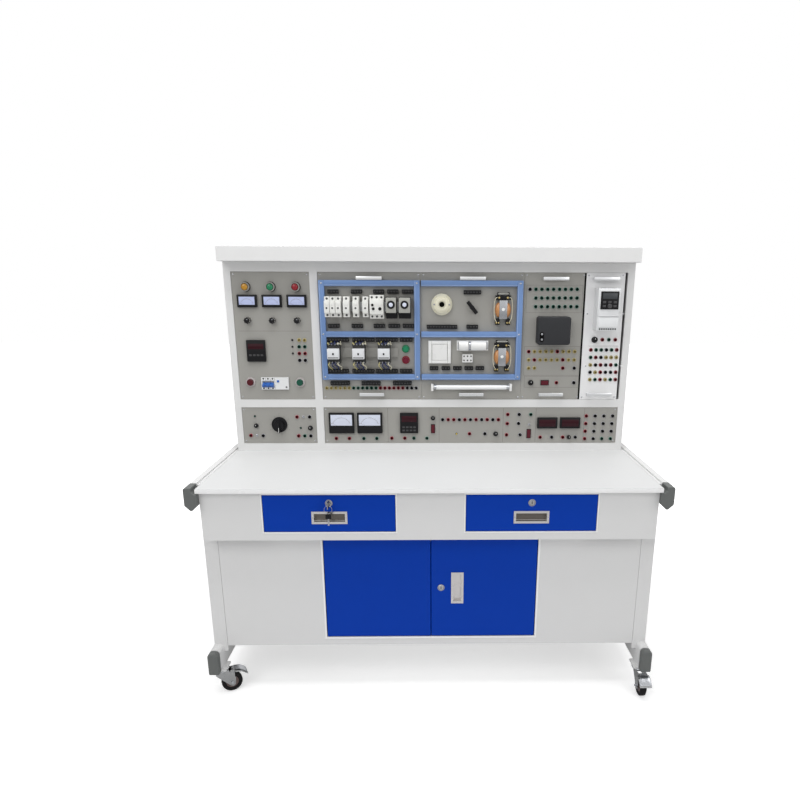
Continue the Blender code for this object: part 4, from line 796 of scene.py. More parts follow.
white_mark = finish("white_mark", (0.8, 0.8, 0.78), 0.5, grain=900, bump=0.02, mottle=0.02)
knob_pixels = (
    ((530.6, 382.6), 0.0105), ((594.4, 339.7), 0.0118), ((256.4, 425.5), 0.0085),
    ((310.6, 427.9), 0.0095), ((433.0, 418.0), 0.0085), ((495.6, 433.7), 0.0095),
    ((568.6, 437.0), 0.0085),
)
knobs = bmesh.new()
for pixel, radius in knob_pixels:
    place = seen(*pixel)
    add_turned(knobs, ((radius, 0), (radius, 0.006), (radius * 0.78, 0.0075), (radius * 0.72, 0.0145),
                       (radius * 0.62, 0.0155), (0, 0.0155)), place, sides=24)
    add_block(knobs, place + Vector((-0.0007, -0.0160, radius * 0.1)),
              place + Vector((0.0007, -0.0154, radius * 0.62)), 0, 1)
settle("small_knobs", knobs, [black_moulding, white_mark])
led_looks = {
    "red": black_moulding, "green": socket_looks["green"],
    "yellow": finish("yellow_lens", (0.72, 0.55, 0.05), 0.2, grain=300, bump=0.1, mottle=0.1, coat=0.4),
}
led_pixels = {
    "red": ((292.3, 340.1), (292.5, 346.7), (292.9, 353.4)), "green": ((300.8, 427.9), (254.9, 416.2)),
    "yellow": ((456.5, 433.7),),
}
for colour, pixels in led_pixels.items():
    leds = bmesh.new()
    for pixel in pixels:
        add_turned(leds, ((0.0042, 0), (0.0042, 0.0012), (0.0030, 0.0016), (0.0030, 0.0040),
                          (0.0022, 0.0056), (0, 0.0062)), seen(*pixel), sides=16, slots=[1, 1, 0, 0, 0])
    settle(f"{colour}_signal_lights", leds, [led_looks[colour], black_moulding])

# Meters and digital instruments
# Black moulded cases pressed into the panels. The analogue ones have a pale scale with printed marks and a
# thin pointer, the digital ones a dark red window, some of them over keys.
dial_white = finish("dial_white", (0.66, 0.70, 0.82), 0.35, grain=900, bump=0.02, mottle=0.01)
dial_blue = finish("dial_blue", (0.50, 0.56, 0.82), 0.22, grain=500, bump=0.02, mottle=0.05)
red_window = finish("red_window", (0.030, 0.002, 0.006), 0.2, grain=300, bump=0.02, mottle=0.3, shine=0.25)
key_grey = finish("key_grey", (0.045, 0.045, 0.047), 0.45, grain=900, bump=0.05, mottle=0.05)
case_cover = 0.0006
case_proud = 0.0115


def add_arc(shape, centre, radius, start, end, width, depth, slot, steps=12):
    """A flat printed arc on a dial, between two angles from the upright."""
    for k in range(steps):
        a, b = (math.radians(start + (end - start) * (k + n) / steps) for n in (0, 1))
        rim = []
        for angle, reach in ((a, radius), (b, radius), (b, radius + width), (a, radius + width)):
            corner = Vector((math.sin(angle) * reach, -depth, math.cos(angle) * reach))
            rim.append(shape.verts.new(centre + corner))
        shape.faces.new(rim).material_index = slot


def analogue_meter(name, place, width, height, face_look, face_from, marks):
    """A meter whose pale scale starts at a share of its window's height."""
    case = bmesh.new()
    half = Vector((width / 2 + case_cover, 0, height / 2 + case_cover))
    add_block(case, place - half - Vector((0, case_proud, 0)), place + half, 0.0022)
    inner = Vector((width / 2 - 0.0072, 0, height / 2 - 0.0072))
    floor_z = place.z - inner.z + (inner.z * 2) * face_from
    front = case_proud + 0.0004
    add_block(case, Vector((place.x - inner.x, place.y - front, floor_z)),
              Vector((place.x + inner.x, place.y - case_proud + 0.001, place.z + inner.z)), 0.0003, 1)
    hub = Vector((place.x, place.y, floor_z - height * 0.06))
    reach = (place.z + inner.z - hub.z) * 0.80
    sweep_angle = math.degrees(math.asin(min(0.95, inner.x * 0.86 / reach)))
    add_arc(case, hub, reach * 0.93, -sweep_angle, sweep_angle, 0.0006, front + 0.0002, 2)
    for k in range(marks):
        angle = math.radians(-sweep_angle + 2 * sweep_angle * k / (marks - 1))
        long = 0.0050 if k % 5 == 0 else 0.0028
        add_arc(case, hub, reach * 0.93, math.degrees(angle) - 0.45, math.degrees(angle) + 0.45, long,
                front + 0.0002, 2, 1)
    needle = math.radians(-sweep_angle)
    add_arc(case, hub, reach * 0.12 + (floor_z - hub.z) / math.cos(needle), math.degrees(needle) - 0.5,
            math.degrees(needle) + 0.5, reach * 0.72, front + 0.0003, 2, 1)
    settle(name, case, [black_moulding, face_look, ink])


panel_meter_size = (0.0735, 0.0455)
strip_meter_size = (0.099, 0.082)
for k, share in enumerate((0.189, 0.508, 0.827)):
    analogue_meter(f"panel_meter_{k}", placed("control_panel", share, 0.780), *panel_meter_size,
                   dial_blue, 0.06, 11)
for k, share in enumerate((0.0591, 0.1548)):
    analogue_meter(f"strip_meter_{k}", placed("lower_strip", share, 0.571), *strip_meter_size,
                   dial_white, 0.36, 21)


def digital_instrument(name, place, width, height, window, keys):
    """A case with a window between two shares of its height, over columns and rows of keys."""
    case = bmesh.new()
    half = Vector((width / 2 + case_cover, 0, height / 2 + case_cover))
    add_block(case, place - half - Vector((0, case_proud, 0)), place + half, 0.0022)
    top, bottom = (place.z - height / 2 + height * share for share in window)
    add_block(case, Vector((place.x - width * 0.42, place.y - case_proud - 0.0005, bottom)),
              Vector((place.x + width * 0.42, place.y - case_proud + 0.001, top)), 0.0004, 1)
    for row in range(keys[1]):
        for column in range(keys[0]):
            x = place.x + width * 0.62 * (column / max(1, keys[0] - 1) - 0.5) if keys[0] > 1 else place.x
            z = place.z - height * (0.20 + 0.16 * row)
            add_block(case, Vector((x - width * 0.07, place.y - case_proud - 0.0012, z - height * 0.04)),
                      Vector((x + width * 0.07, place.y - case_proud + 0.001,
                              z + height * 0.04)), 0.0004, 2)
    settle(name, case, [black_moulding, red_window, key_grey])


instrument_size = (0.071, 0.081)
digital_meter_size = (0.080, 0.043)
digital_instrument("panel_instrument", placed("control_panel", 0.259, 0.393), *instrument_size,
                   (0.84, 0.58), (4, 1))
digital_instrument("strip_instrument", placed("lower_strip", 0.2887, 0.571), *instrument_size,
                   (0.86, 0.56), (4, 2))
for k, share in enumerate((0.761, 0.8393)):
    digital_instrument(f"digital_meter_{k}", placed("lower_strip", share, 0.571), *digital_meter_size,
                       (0.84, 0.18), (0, 0))

# Push buttons and rockers
# Coloured caps that slide in plated rings, and small red rocker switches in black frames.
pale_ring = finish("pale_ring", (0.50, 0.46, 0.46), 0.35, grain=900, bump=0.05, mottle=0.08)
button_looks = {
    "stop_button": (finish("stop_cap", (0.075, 0.003, 0.008), 0.4, shine=0.3), pale_ring),
    "start_button": (finish("start_cap", (0.006, 0.075, 0.045), 0.4, shine=0.3), pale_ring),
    "module_stop_button": (finish("module_stop_cap", (0.13, 0.004, 0.02), 0.4, shine=0.3),
                           lens_looks["red"]),
    "module_start_button": (finish("module_start_cap", (0.01, 0.20, 0.09), 0.4, shine=0.3),
                            lens_looks["green"]),
}
panel_collar = 0.0063
module_collar = 0.0043
for node, (cap_look, ring_look) in button_looks.items():
    coat_node(node, cap_look)
    low, high = (Vector(v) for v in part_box(node))
    place = Vector(((low.x + high.x) / 2, panel_y, (low.z + high.z) / 2))
    radius = (high.x - low.x) / 2
    collar = bmesh.new()
    outer = radius + (module_collar if "module" in node else panel_collar)
    add_turned(collar, ((outer, 0), (outer, 0.0040), (outer - 0.0015, 0.0056), (radius + 0.0007, 0.0056),
                        (radius + 0.0007, 0.0020)), place, sides=32)
    settle(f"{node}_ring", collar, [ring_look])

rockers = bmesh.new()
rocker_pixels = (
    ((540.5, 380.0), (548.6, 385.2)), ((430.9, 424.2), (435.1, 433.1)), ((526.6, 429.0), (530.6, 438.0)),
)
for corner, far_corner in rocker_pixels:
    a, b = seen(*corner), seen(*far_corner)
    low = Vector((a.x, panel_y - 0.0030, b.z))
    add_block(rockers, low, Vector((b.x, panel_y, a.z)), 0.0008)
    add_block(rockers, low + Vector((0.002, -0.0030, 0.002)),
              Vector((b.x - 0.002, panel_y - 0.002, a.z - 0.002)), 0.0012, 1)
rocker_red = finish("rocker_red", (0.09, 0.003, 0.012), 0.35, grain=900, bump=0.05, mottle=0.1, shine=0.3)
settle("rocker_switches", rockers, [black_moulding, rocker_red])

toggles = bmesh.new()
toggle_pixels = ((257.3, 435.3), (528.9, 424.3), (303.5, 416.8))
for pixel in toggle_pixels:
    place = seen(*pixel)
    add_turned(toggles, ((0.0058, 0), (0.0058, 0.0022), (0.0040, 0.0030), (0.0040, 0.0052), (0, 0.0052)),
               place, sides=6)
    add_turned(toggles, ((0.0014, 0.004), (0.0019, 0.0140), (0.0012, 0.0156), (0, 0.0160)), place,
               (0, -1, 0.45), 12)
settle("toggle_switches", toggles, [steel_bolt])

# Rotary knob
# The large selector on the lower left panel: a black skirted knob with a white pointer line, over a
# printed ring of marks with plain numbers.
coat_node("rotary_knob", black_moulding)
knob = Vector(joints["rotary_knob_turn"]["pos_m"])
pointer = bmesh.new()
add_block(pointer, knob + Vector((-0.0009, -0.0254, -0.0285)), knob + Vector((0.0009, -0.0249, -0.010)), 0)
settle("knob_pointer", pointer, [white_mark], "rotary_knob")
marks = bmesh.new()
first_mark = -120
mark_step = 30
mark_count = 9
for k in range(mark_count):
    angle = first_mark + mark_step * k
    add_arc(marks, Vector((knob.x, panel_y, knob.z)), 0.034, angle - 0.9, angle + 0.9, 0.004, 0.0002, 0, 1)
settle("knob_marks", marks, [ink])


def print_number(name, words, place, size, look):
    """A plain printed number, facing the user."""
    data = bpy.data.curves.new(name, "FONT")
    data.body = words
    data.size = size
    data.align_x = "CENTER"
    data.align_y = "CENTER"
    data.extrude = 0.00005
    data.materials.append(look)
    obj = bpy.data.objects.new(name, data)
    obj.location = place
    obj.rotation_euler = (math.pi / 2, 0, 0)
    bpy.context.scene.collection.objects.link(obj)
    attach(obj, "bench")


number_reach = 0.0435
for k in range(0, mark_count, 2):
    angle = math.radians(first_mark + mark_step * k)
    place = knob + Vector((math.sin(angle) * number_reach, -0.0002, math.cos(angle) * number_reach))
    print_number(f"knob_number_{k}", str(k // 2), place, 0.0065, ink)

# Circuit breaker
# A white moulded breaker that stands through the control panel: three poles with blue handles on one bar,
# and a fault-current half with its test button.
breaker_white = finish("breaker_white", (0.78, 0.79, 0.79), 0.38, grain=1200, bump=0.05, mottle=0.02)
handle_blue = finish("handle_blue", (0.02, 0.11, 0.42), 0.35, grain=900, bump=0.05, mottle=0.04)
coat_node("breaker", breaker_white)
coat_node("breaker_toggle", handle_blue)
low, high = (Vector(v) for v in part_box("breaker"))
front = low.y
middle = (low.x + high.x) / 2
details = bmesh.new()
pole = 0.0177
for k in range(3):
    x = low.x + pole * (k + 0.5)
    for z in (low.z + 0.005, high.z - 0.005):
        add_turned(details, ((0.0032, 0), (0.0032, 0.0004), (0, 0.0004)), (x, front, z), sides=14,
                   slots=[1, 1])
    if k:
        add_block(details, (low.x + pole * k - 0.0003, front - 0.0003, low.z + 0.001),
                  (low.x + pole * k + 0.0003, front + 0.0002, high.z - 0.001), 0, 1)
add_block(details, (middle - 0.0006, front - 0.0003, low.z + 0.001),
          (middle, front + 0.0002, high.z - 0.001), 0, 1)
add_block(details, (low.x + 0.002, front - 0.0004, low.z + 0.0085),
          (middle - 0.002, front + 0.0002, low.z + 0.0115), 0, 2)
add_block(details, (middle + 0.008, front - 0.0022, low.z + 0.028),
          (middle + 0.017, front + 0.0002, low.z + 0.036), 0.0008, 2)
add_block(details, (high.x - 0.012, front - 0.0012, low.z + 0.007),
          (high.x - 0.006, front + 0.0002, low.z + 0.012), 0, 3)
settle("breaker_details", details, [breaker_white, dark_gap, handle_blue, key_grey])
handles = bmesh.new()
throw = joints["breaker_toggle_throw"]
pivot = Vector(throw["pos_m"])
tilt = Matrix.Rotation(math.radians(30), 4, "X")
for k in range(3):
    x = low.x + pole * (k + 0.5) - pivot.x
    shape_low, shape_high = Vector((x - 0.0045, -0.0185, -0.0042)), Vector((x + 0.0045, -0.0060, 0.0042))
    before = set(handles.verts)
    add_block(handles, shape_low, shape_high, 0.0012)
    bmesh.ops.transform(handles, matrix=Matrix.Translation(pivot) @ tilt,
                        verts=[v for v in handles.verts if v not in before])
settle("breaker_handles", handles, [handle_blue], "breaker_toggle")

# Blue device frames
# Anodised blue profile, mitred at the corners and held by small screws, round the devices of boards A and B.
# A raised bead along each bar is painted a lighter blue as a highlight.
# The boards share the stile between them, so the right frame has none of its own there and its rails start
# a little further left.
# A lighter copy of the frame blue, painted on the raised bead as a highlight.
frame_bead_highlight = finish("frame_bead_highlight", (0.30, 0.42, 0.66), 0.4, grain=600, bump=0.05, mottle=0.05)
frame_blue = finish("frame_blue", (0.17, 0.28, 0.53), 0.4, metal=0.2, grain=600, bump=0.05, mottle=0.05,
                    shine=0.3)
bar_wide = 0.0215
bar_ridge = 0.0012
ridge_wide = 0.0050
middle_rail = 0.46627
rail_overlap = 0.0035
for side in ("left", "right"):
    node = f"blue_frame_{side}"
    low, high = (Vector(v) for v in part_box(node))
    rail_middle = low.z + (high.z - low.z) * middle_rail
    bars = bmesh.new()
    stiles = (low.x, high.x - bar_wide) if side == "left" else (high.x - bar_wide,)
    for x in stiles:
        add_block(bars, (x, low.y, low.z), (x + bar_wide, high.y, high.z), 0.0012)
        # Raised bead, painted lighter blue as a highlight.
        add_block(bars, (x + ridge_wide / 2, low.y - bar_ridge, low.z + ridge_wide),
                  (x + ridge_wide, low.y + bar_ridge, high.z - ridge_wide), 0.0005, 1)
    start = low.x + bar_wide if side == "left" else low.x - rail_overlap
    for z in (low.z, rail_middle - bar_wide / 2, high.z - bar_wide):
        add_block(bars, (start, low.y, z), (high.x - bar_wide, high.y, z + bar_wide), 0.0012)
        add_block(bars, (start, low.y - bar_ridge, z + ridge_wide / 2),
                  (high.x - bar_wide, low.y + bar_ridge, z + ridge_wide), 0.0005, 1)
    framed = settle(f"{node}_bars", bars, [frame_blue, frame_bead_highlight])
    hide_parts(node)
    bits = bmesh.new()
    inset = 0.0108
    for x in [x + inset for x in stiles]:
        for z in (low.z + inset, rail_middle, high.z - inset):
            add_turned(bits, ((0.0034, 0), (0.0032, 0.0010), (0.0020, 0.0018), (0, 0.0020)), (x, low.y, z),
                       sides=14)
    settle(f"frame_screws_{side}", bits, [steel_bolt])

# Terminal strips
# Black moulded strips with clamp screws, fixed above and below the devices, where the leads end.
strip_height = 0.0155
strip_depth = 0.012


def terminal_strips(name, pixels, height=strip_height, depth=strip_depth):
    """Strips given as (first column, last column, row) in pixels of the photograph."""
    strips = bmesh.new()
    for u_start, u_end, v in pixels:
        a, b = seen(u_start, v), seen(u_end, v)
        low = Vector((a.x, panel_y - depth, a.z - height / 2))
        high = Vector((b.x, panel_y - 0.0001, a.z + height / 2))
        add_block(strips, low, high, 0.0022)
        count = max(2, round((high.x - low.x) / 0.011))
        for k in range(count):
            x = low.x + (high.x - low.x) * (k + 0.5) / count
            add_turned(strips, ((0.0030, 0), (0.0030, 0.0007), (0, 0.0008)), (x, low.y, a.z), sides=12,
                       slots=[1, 1])
            add_block(strips, (x - 0.0024, low.y - 0.0010, a.z - 0.0003),
                      (x + 0.0024, low.y - 0.0007, a.z + 0.0003), 0, 2)
    settle(name, strips, [black_moulding, key_grey, dark_gap])


board_a_strip_pixels = (
    (327.5, 338.7, 291.5), (351.0, 362.2, 291.5), (373.2, 384.2, 291.5), (387.2, 398.6, 291.5),
    (401.8, 413.2, 291.5),
    (328.5, 339.9, 325.7), (351.8, 363.2, 325.7), (373.8, 385.2, 325.7), (388.4, 400.2, 325.7),
    (402.8, 414.2, 325.7),
    (326.3, 349.0, 339.6), (352.5, 374.5, 339.6), (375.9, 398.0, 339.6), (400.0, 412.4, 339.6),
    (326.8, 349.0, 370.6), (352.5, 374.5, 370.6), (375.9, 398.0, 370.6), (400.0, 412.4, 370.6),
    (330.8, 350.1, 383.0), (361.8, 380.7, 383.0), (393.1, 411.7, 383.0),
)
board_b_strip_pixels = (
    (463.5, 481.1, 292.2), (426.7, 457.3, 326.6), (466.3, 478.0, 326.6),
    (429.7, 438.3, 367.9), (441.5, 450.1, 367.9), (453.0, 461.6, 367.9), (464.4, 473.0, 367.9),
    (475.4, 484.0, 367.9),
)
terminal_strips("board_a_strips", board_a_strip_pixels)
terminal_strips("board_b_strips", board_b_strip_pixels)

# Upper device row
# Plug-in devices on a steel mounting rail: white fuse bases with three screw wells, a white overload relay
# with black dials, and two grey time relays in black sockets.
rail_steel = finish("rail_steel", (0.55, 0.56, 0.57), 0.34, metal=1.0, grain=300, bump=0.06, mottle=0.1)
fuse_white = finish("fuse_white", (0.78, 0.78, 0.75), 0.36, grain=1000, bump=0.06, mottle=0.03)
relay_grey = finish("relay_grey", (0.36, 0.36, 0.33), 0.45, grain=1000, bump=0.08, mottle=0.05)
row_low, row_high = (Vector(v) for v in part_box("device_row"))
row_middle = (row_low.z + row_high.z) / 2
rail_shortfall = 0.014
rail_end = row_high.x - rail_shortfall
rail = bmesh.new()
for z in (-0.0175, 0.0125):
    add_block(rail, (row_low.x, row_high.y - 0.0075, row_middle + z),
              (rail_end, row_high.y - 0.0060, row_middle + z + 0.005), 0.0004)
    inner = z + (0.0040 if z < 0 else 0.0)
    add_block(rail, (row_low.x, row_high.y - 0.0072, row_middle + inner),
              (rail_end, row_high.y - 0.0001, row_middle + inner + 0.001))
add_block(rail, (row_low.x, row_high.y - 0.0012, row_middle - 0.0135),
          (rail_end, row_high.y - 0.0001, row_middle + 0.0135), 0.0003)
rail_piece = settle("row_rail", rail, [rail_steel])
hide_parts("device_row")
row_length = row_high.x - row_low.x
seat_y = row_high.y - 0.0076


def fuse_base(name, start_share, end_share, poles):
    """A fuse base of one or more poles, between two shares of the row's length."""
    low_x, high_x = (row_low.x + row_length * share for share in (start_share, end_share))
    body = bmesh.new()
    width = (high_x - low_x) / poles
    for k in range(poles):
        x = low_x + width * k
        edge = 0.0014
        add_block(body, (x + 0.0003, seat_y - 0.034, row_middle - 0.0375),
                  (x + width - 0.0003, seat_y, row_middle + 0.0375), edge)
        add_block(body, (x + 0.0006, seat_y - 0.050, row_middle - 0.0225),
                  (x + width - 0.0006, seat_y - 0.030, row_middle + 0.0225), edge * 2)
        centre = x + width / 2
        for rise, depth, radius in ((0.0300, 0.034, 0.0036), (-0.0300, 0.034, 0.0036),
                                    (-0.0040, 0.050, 0.0032)):
            add_turned(body, ((radius + 0.0006, 0.0001), (radius + 0.0004, 0.0005), (0, 0.0005)),
                       (centre, seat_y - depth, row_middle + rise), sides=16, slots=[1, 1])
        add_block(body, (centre - width * 0.30, seat_y - 0.0508, row_middle + 0.006),
                  (centre + width * 0.30, seat_y - 0.049, row_middle + 0.017), 0.0006, 2)
    settle(name, body, [fuse_white, key_grey, fuse_white])


fuse_base("triple_fuse_base", 0.0, 0.190, 3)
for k, (start, end) in enumerate(((0.210, 0.285), (0.318, 0.390), (0.428, 0.495))):
    fuse_base(f"single_fuse_base_{k}", start, end, 1)

low_x, high_x = (row_low.x + row_length * share for share in (0.507, 0.668))
relay = bmesh.new()
add_block(relay, (low_x, seat_y - 0.030, row_middle - 0.043), (high_x, seat_y, row_middle + 0.043), 0.0016)
add_block(relay, (low_x + 0.001, seat_y - 0.050, row_middle - 0.026),
          (high_x - 0.001, seat_y - 0.028, row_middle + 0.027), 0.003)
for k in range(3):
    x = low_x + (high_x - low_x) * (k + 0.5) / 3
    for z in (row_middle + 0.035, row_middle - 0.035):
        add_turned(relay, ((0.0042, 0.0001), (0.0040, 0.0006), (0, 0.0006)), (x, seat_y - 0.030, z),
                   sides=16, slots=[1, 1])
for x_share, rise, radius in ((0.22, 0.0075, 0.0048), (0.28, -0.0062, 0.0052), (0.74, -0.0062, 0.0062)):
    add_turned(relay, ((radius, 0), (radius, 0.0022), (radius * 0.8, 0.0028), (0, 0.0028)),
               (low_x + (high_x - low_x) * x_share, seat_y - 0.050, row_middle + rise),
               sides=20, slots=[2, 2, 2])
add_block(relay, (low_x + 0.022, seat_y - 0.0508, row_middle + 0.004),
          (high_x - 0.006, seat_y - 0.049, row_middle + 0.018), 0.0005, 0)
settle("overload_relay", relay, [fuse_white, key_grey, black_moulding])

for k, (start, end) in enumerate(((0.690, 0.812), (0.835, 0.968))):
    low_x, high_x = (row_low.x + row_length * share for share in (start, end))
    centre = (low_x + high_x) / 2
    timer = bmesh.new()
    add_block(timer, (low_x - 0.0005, seat_y - 0.028, row_low.z + 0.0004),
              (high_x + 0.0005, seat_y, row_middle + 0.036), 0.0015, 1)
    add_block(timer, (low_x + 0.0015, seat_y - 0.064, row_middle - 0.0205),
              (high_x - 0.0015, seat_y - 0.027, row_middle + 0.034), 0.0022)
    add_turned(timer, ((0.0150, 0), (0.0150, 0.0010), (0.0135, 0.0014), (0.0075, 0.0014)),
               (centre, seat_y - 0.064, row_middle + 0.009), sides=32, slots=[1, 1, 1])
    add_turned(timer, ((0.0078, 0), (0.0072, 0.0065), (0.0060, 0.0074), (0, 0.0074)),
               (centre, seat_y - 0.064, row_middle + 0.009), sides=24, slots=[2, 2, 2])
    for x in (centre - 0.012, centre + 0.012):
        add_turned(timer, ((0.0025, 0), (0.0025, 0.0008), (0, 0.0008)),
                   (x, seat_y - 0.028, row_middle - 0.033), sides=12, slots=[1, 1])
    settle(f"time_relay_{k}", timer, [relay_grey, black_moulding, dial_white, steel_bolt])

# Contactors
# Moulded contactors on the lower rail. Each has a pale nose with a dark square plunger, screw terminals
# above and below, and coloured leads looped to the strips.
contactor_white = finish("contactor_white", (0.72, 0.73, 0.75), 0.4, grain=1000, bump=0.06, mottle=0.03)
contactor_grey = finish("contactor_grey", (0.012, 0.012, 0.012), 0.45, grain=1000, bump=0.08, mottle=0.08)
lead_looks = {
    "yellow": finish("yellow_lead", (0.62, 0.55, 0.22), 0.45, grain=900, bump=0.04, mottle=0.05),
    "cream": finish("cream_lead", (0.70, 0.66, 0.50), 0.45, grain=900, bump=0.04, mottle=0.05),
    "blue": finish("blue_lead", (0.02, 0.03, 0.12), 0.45, grain=900, bump=0.04, mottle=0.1),
}
lead_radius = 0.0019
strip_pixels = {1: (300, 341.2), -1: (300, 369.0)}
for word in ("left", "middle", "right"):
    node = f"contactor_{word}"
    low, high = (Vector(v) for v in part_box(node))
    centre = Vector(((low.x + high.x) / 2, low.y, (low.z + high.z) / 2))
    body = bmesh.new()
    base_front = high.y - 0.036
    add_block(body, (low.x, base_front, low.z), (high.x, high.y, high.z), 0.0016, 1)
    add_block(body, (low.x + 0.001, base_front - 0.004, centre.z - 0.030),
              (high.x - 0.001, high.y - 0.02, centre.z + 0.030), 0.0016, 1)
    add_block(body, (low.x + 0.001, low.y, centre.z - 0.0195),
              (high.x - 0.001, base_front + 0.004, centre.z + 0.0195), 0.0022)
    add_block(body, (centre.x - 0.0030, low.y - 0.0012, centre.z - 0.0036),
              (centre.x + 0.0030, low.y + 0.001, centre.z + 0.0036), 0.0005, 2)
    add_block(body, (low.x + 0.004, low.y - 0.0003, centre.z - 0.0160),
              (high.x - 0.004, low.y + 0.001, centre.z - 0.0125), 0.0002, 3)
    for k in range(4):
        x = low.x + (high.x - low.x) * (k + 0.5) / 4
        for sign in (-1, 1):
            add_turned(body, ((0.0036, 0), (0.0036, 0.0015), (0, 0.0016)),
                       (x, base_front, centre.z + sign * 0.0345), sides=14, slots=[4, 4])
            add_block(body, (x - 0.0052, base_front - 0.0075, centre.z + sign * 0.0265 - 0.0015),
                      (x - 0.0044, base_front + 0.001,
                       centre.z + sign * 0.0265 + 0.0100 * (sign > 0) - 0.0100 * (sign < 0) + 0.0015), 0, 1)
    piece = settle(f"{node}_body", body, [contactor_white, contactor_grey, dark_gap, key_grey, steel_bolt])
    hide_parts(node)
    runs = {"yellow": [], "cream": [], "blue": []}
    for sign in (1, -1):
        ends = (("yellow", -0.019, -0.016), ("blue", -0.004, -0.003), ("blue", 0.004, 0.007),
                ("cream", 0.017, 0.019))
        for colour, from_x, to_x in ends:
            start = Vector((centre.x + from_x * 0.9, base_front - 0.0015, centre.z + sign * 0.0335))
            strip_z = seen(*strip_pixels[sign]).z
            end = Vector((centre.x + to_x + 0.004, panel_y - strip_depth + 0.001, strip_z))
            bow = Vector((0.006 * (1 if from_x > 0 else -1), 0, 0))
            runs[colour].append([
                start, start + Vector((0, -0.012, sign * 0.002)),
                start + Vector((0, -0.017, sign * 0.009)) + bow * 0.5,
                end + Vector((0, -0.020, -sign * 0.012)) + bow,
                end + Vector((0, -0.010, -sign * 0.003)), end,
            ])
    for colour, lines in runs.items():
        sweep(f"{node}_{colour}_leads", lines, lead_radius, [lead_looks[colour]])

# Lamp holder
# A round cream moulded base with a raised inner ring round a dark socket, and two clamp screws.
cream = finish("cream_moulding", (0.76, 0.73, 0.58), 0.42, grain=1000, bump=0.08, mottle=0.04)
coat_node("lamp_holder", cream)
low, high = (Vector(v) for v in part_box("lamp_holder"))
centre = Vector(((low.x + high.x) / 2, high.y, (low.z + high.z) / 2))
ring_shape = bmesh.new()
holder_radius = (high.x - low.x) / 2
add_turned(ring_shape, ((holder_radius - 0.0006, 0), (holder_radius - 0.0006, 0.0080),
                        (holder_radius - 0.0022, 0.0095), (0.0200, 0.0100)),
           (centre.x, panel_y, centre.z), sides=48)
add_turned(ring_shape, ((0.0245, 0.0218), (0.0240, 0.0260), (0.0225, 0.0268), (0.0150, 0.0268),
                        (0.0135, 0.0255), (0.0130, 0.0100), (0.0060, 0.0095), (0, 0.0095)), centre,
           sides=36, slots=[0, 0, 0, 0, 1, 1, 1])
for sign in (-1, 1):
    add_turned(ring_shape, ((0.0034, 0.0195), (0.0034, 0.0222), (0, 0.0228)),
               centre + Vector((sign * 0.0285, 0, 0)), sides=14, slots=[2, 2])
settle("lamp_holder_ring", ring_shape, [cream, dark_gap, steel_bolt])

# Lever switch
# A black lever on a round base of the same moulded plastic.
coat_node("lever_switch", black_moulding)
lever = Vector(joints["lever_switch_turn"]["pos_m"])
base = bmesh.new()
add_turned(base, ((0.0095, 0), (0.0095, 0.0030), (0.0085, 0.0045), (0.0083, 0.0142), (0.0046, 0.0142),
                  (0.0046, 0.010)), Vector((lever.x, panel_y, lever.z)), sides=32)
settle("lever_base_cover", base, [black_moulding])

# Wall switch
# A white rocker switch in a square plate with softly rounded edges, as fitted in houses.
switch_white = finish("switch_white", (0.82, 0.82, 0.81), 0.3, grain=1200, bump=0.03, mottle=0.01, coat=0.2)
coat_node("wall_switch_rocker", switch_white)
rock = Vector(joints["wall_switch_rock"]["pos_m"])
half = 0.0436
hole = (0.0301, 0.0311)
cover_proud = 0.0094
plate = bmesh.new()
for low_x, high_x, low_z, high_z in (
    (-half, -hole[0], -half, half), (hole[0], half, -half, half),
    (-hole[0], hole[0], -half, -hole[1]), (-hole[0], hole[0], hole[1], half),
):
    add_block(plate, (rock.x + low_x, panel_y - cover_proud, rock.z + low_z),
              (rock.x + high_x, panel_y - 0.0001, rock.z + high_z), 0)
rim = [e for e in plate.edges if all(abs(max(abs(v.co.x - rock.x), abs(v.co.z - rock.z)) - half) < 0.0005
                                     for v in e.verts)
       and all(v.co.y < panel_y - cover_proud / 2 for v in e.verts)]
bmesh.ops.bevel(plate, geom=rim, offset=0.0025, segments=3, profile=0.5, affect="EDGES")
settle("wall_switch_plate", plate, [switch_white])

# Starter and junction block
# White ceramic holder with its cylindrical starter in spring clips, and a small white junction block below.
starter_pixels = ((456.6, 351.4), (488.3, 339.3))
junction_pixels = ((462.1, 362.0), (472.5, 353.8))
starter = bmesh.new()
a, b = (seen(*pixel) for pixel in starter_pixels)
add_block(starter, (a.x, panel_y - 0.010, a.z + 0.004), (b.x, panel_y - 0.0001, b.z - 0.004), 0.002)
mid_z = (a.z + b.z) / 2
length = b.x - a.x
for start, end, radius, slot in ((0.06, 0.36, 0.019, 0), (0.36, 0.44, 0.0165, 1), (0.44, 0.92, 0.0175, 0)):
    add_turned(starter, ((0, 0), (radius * 0.92, 0), (radius, 0.0018),
                         (radius, length * (end - start) - 0.0018),
                         (radius * 0.92, length * (end - start)), (0, length * (end - start))),
               (a.x + length * start, panel_y - 0.0235, mid_z), (1, 0, 0), 28, [slot] * 5)
for share in (0.05, 0.95):
    x = a.x + length * share
    add_block(starter, (x - 0.0022, panel_y - 0.032, mid_z - 0.013),
              (x + 0.0022, panel_y - 0.001, mid_z + 0.013), 0.0010, 1)
settle("starter_holder", starter, [switch_white, steel_bolt])
junction = bmesh.new()
a, b = (seen(*pixel) for pixel in junction_pixels)
add_block(junction, (a.x, panel_y - 0.016, a.z), (b.x, panel_y - 0.0001, b.z), 0.0016)
for k in range(3):
    x = a.x + (b.x - a.x) * (k + 0.5) / 3
    for share in (0.25, 0.75):
        add_turned(junction, ((0.0032, 0.0001), (0.0030, 0.0006), (0, 0.0006)),
                   (x, panel_y - 0.016, a.z + (b.z - a.z) * share), sides=14, slots=[1, 1])
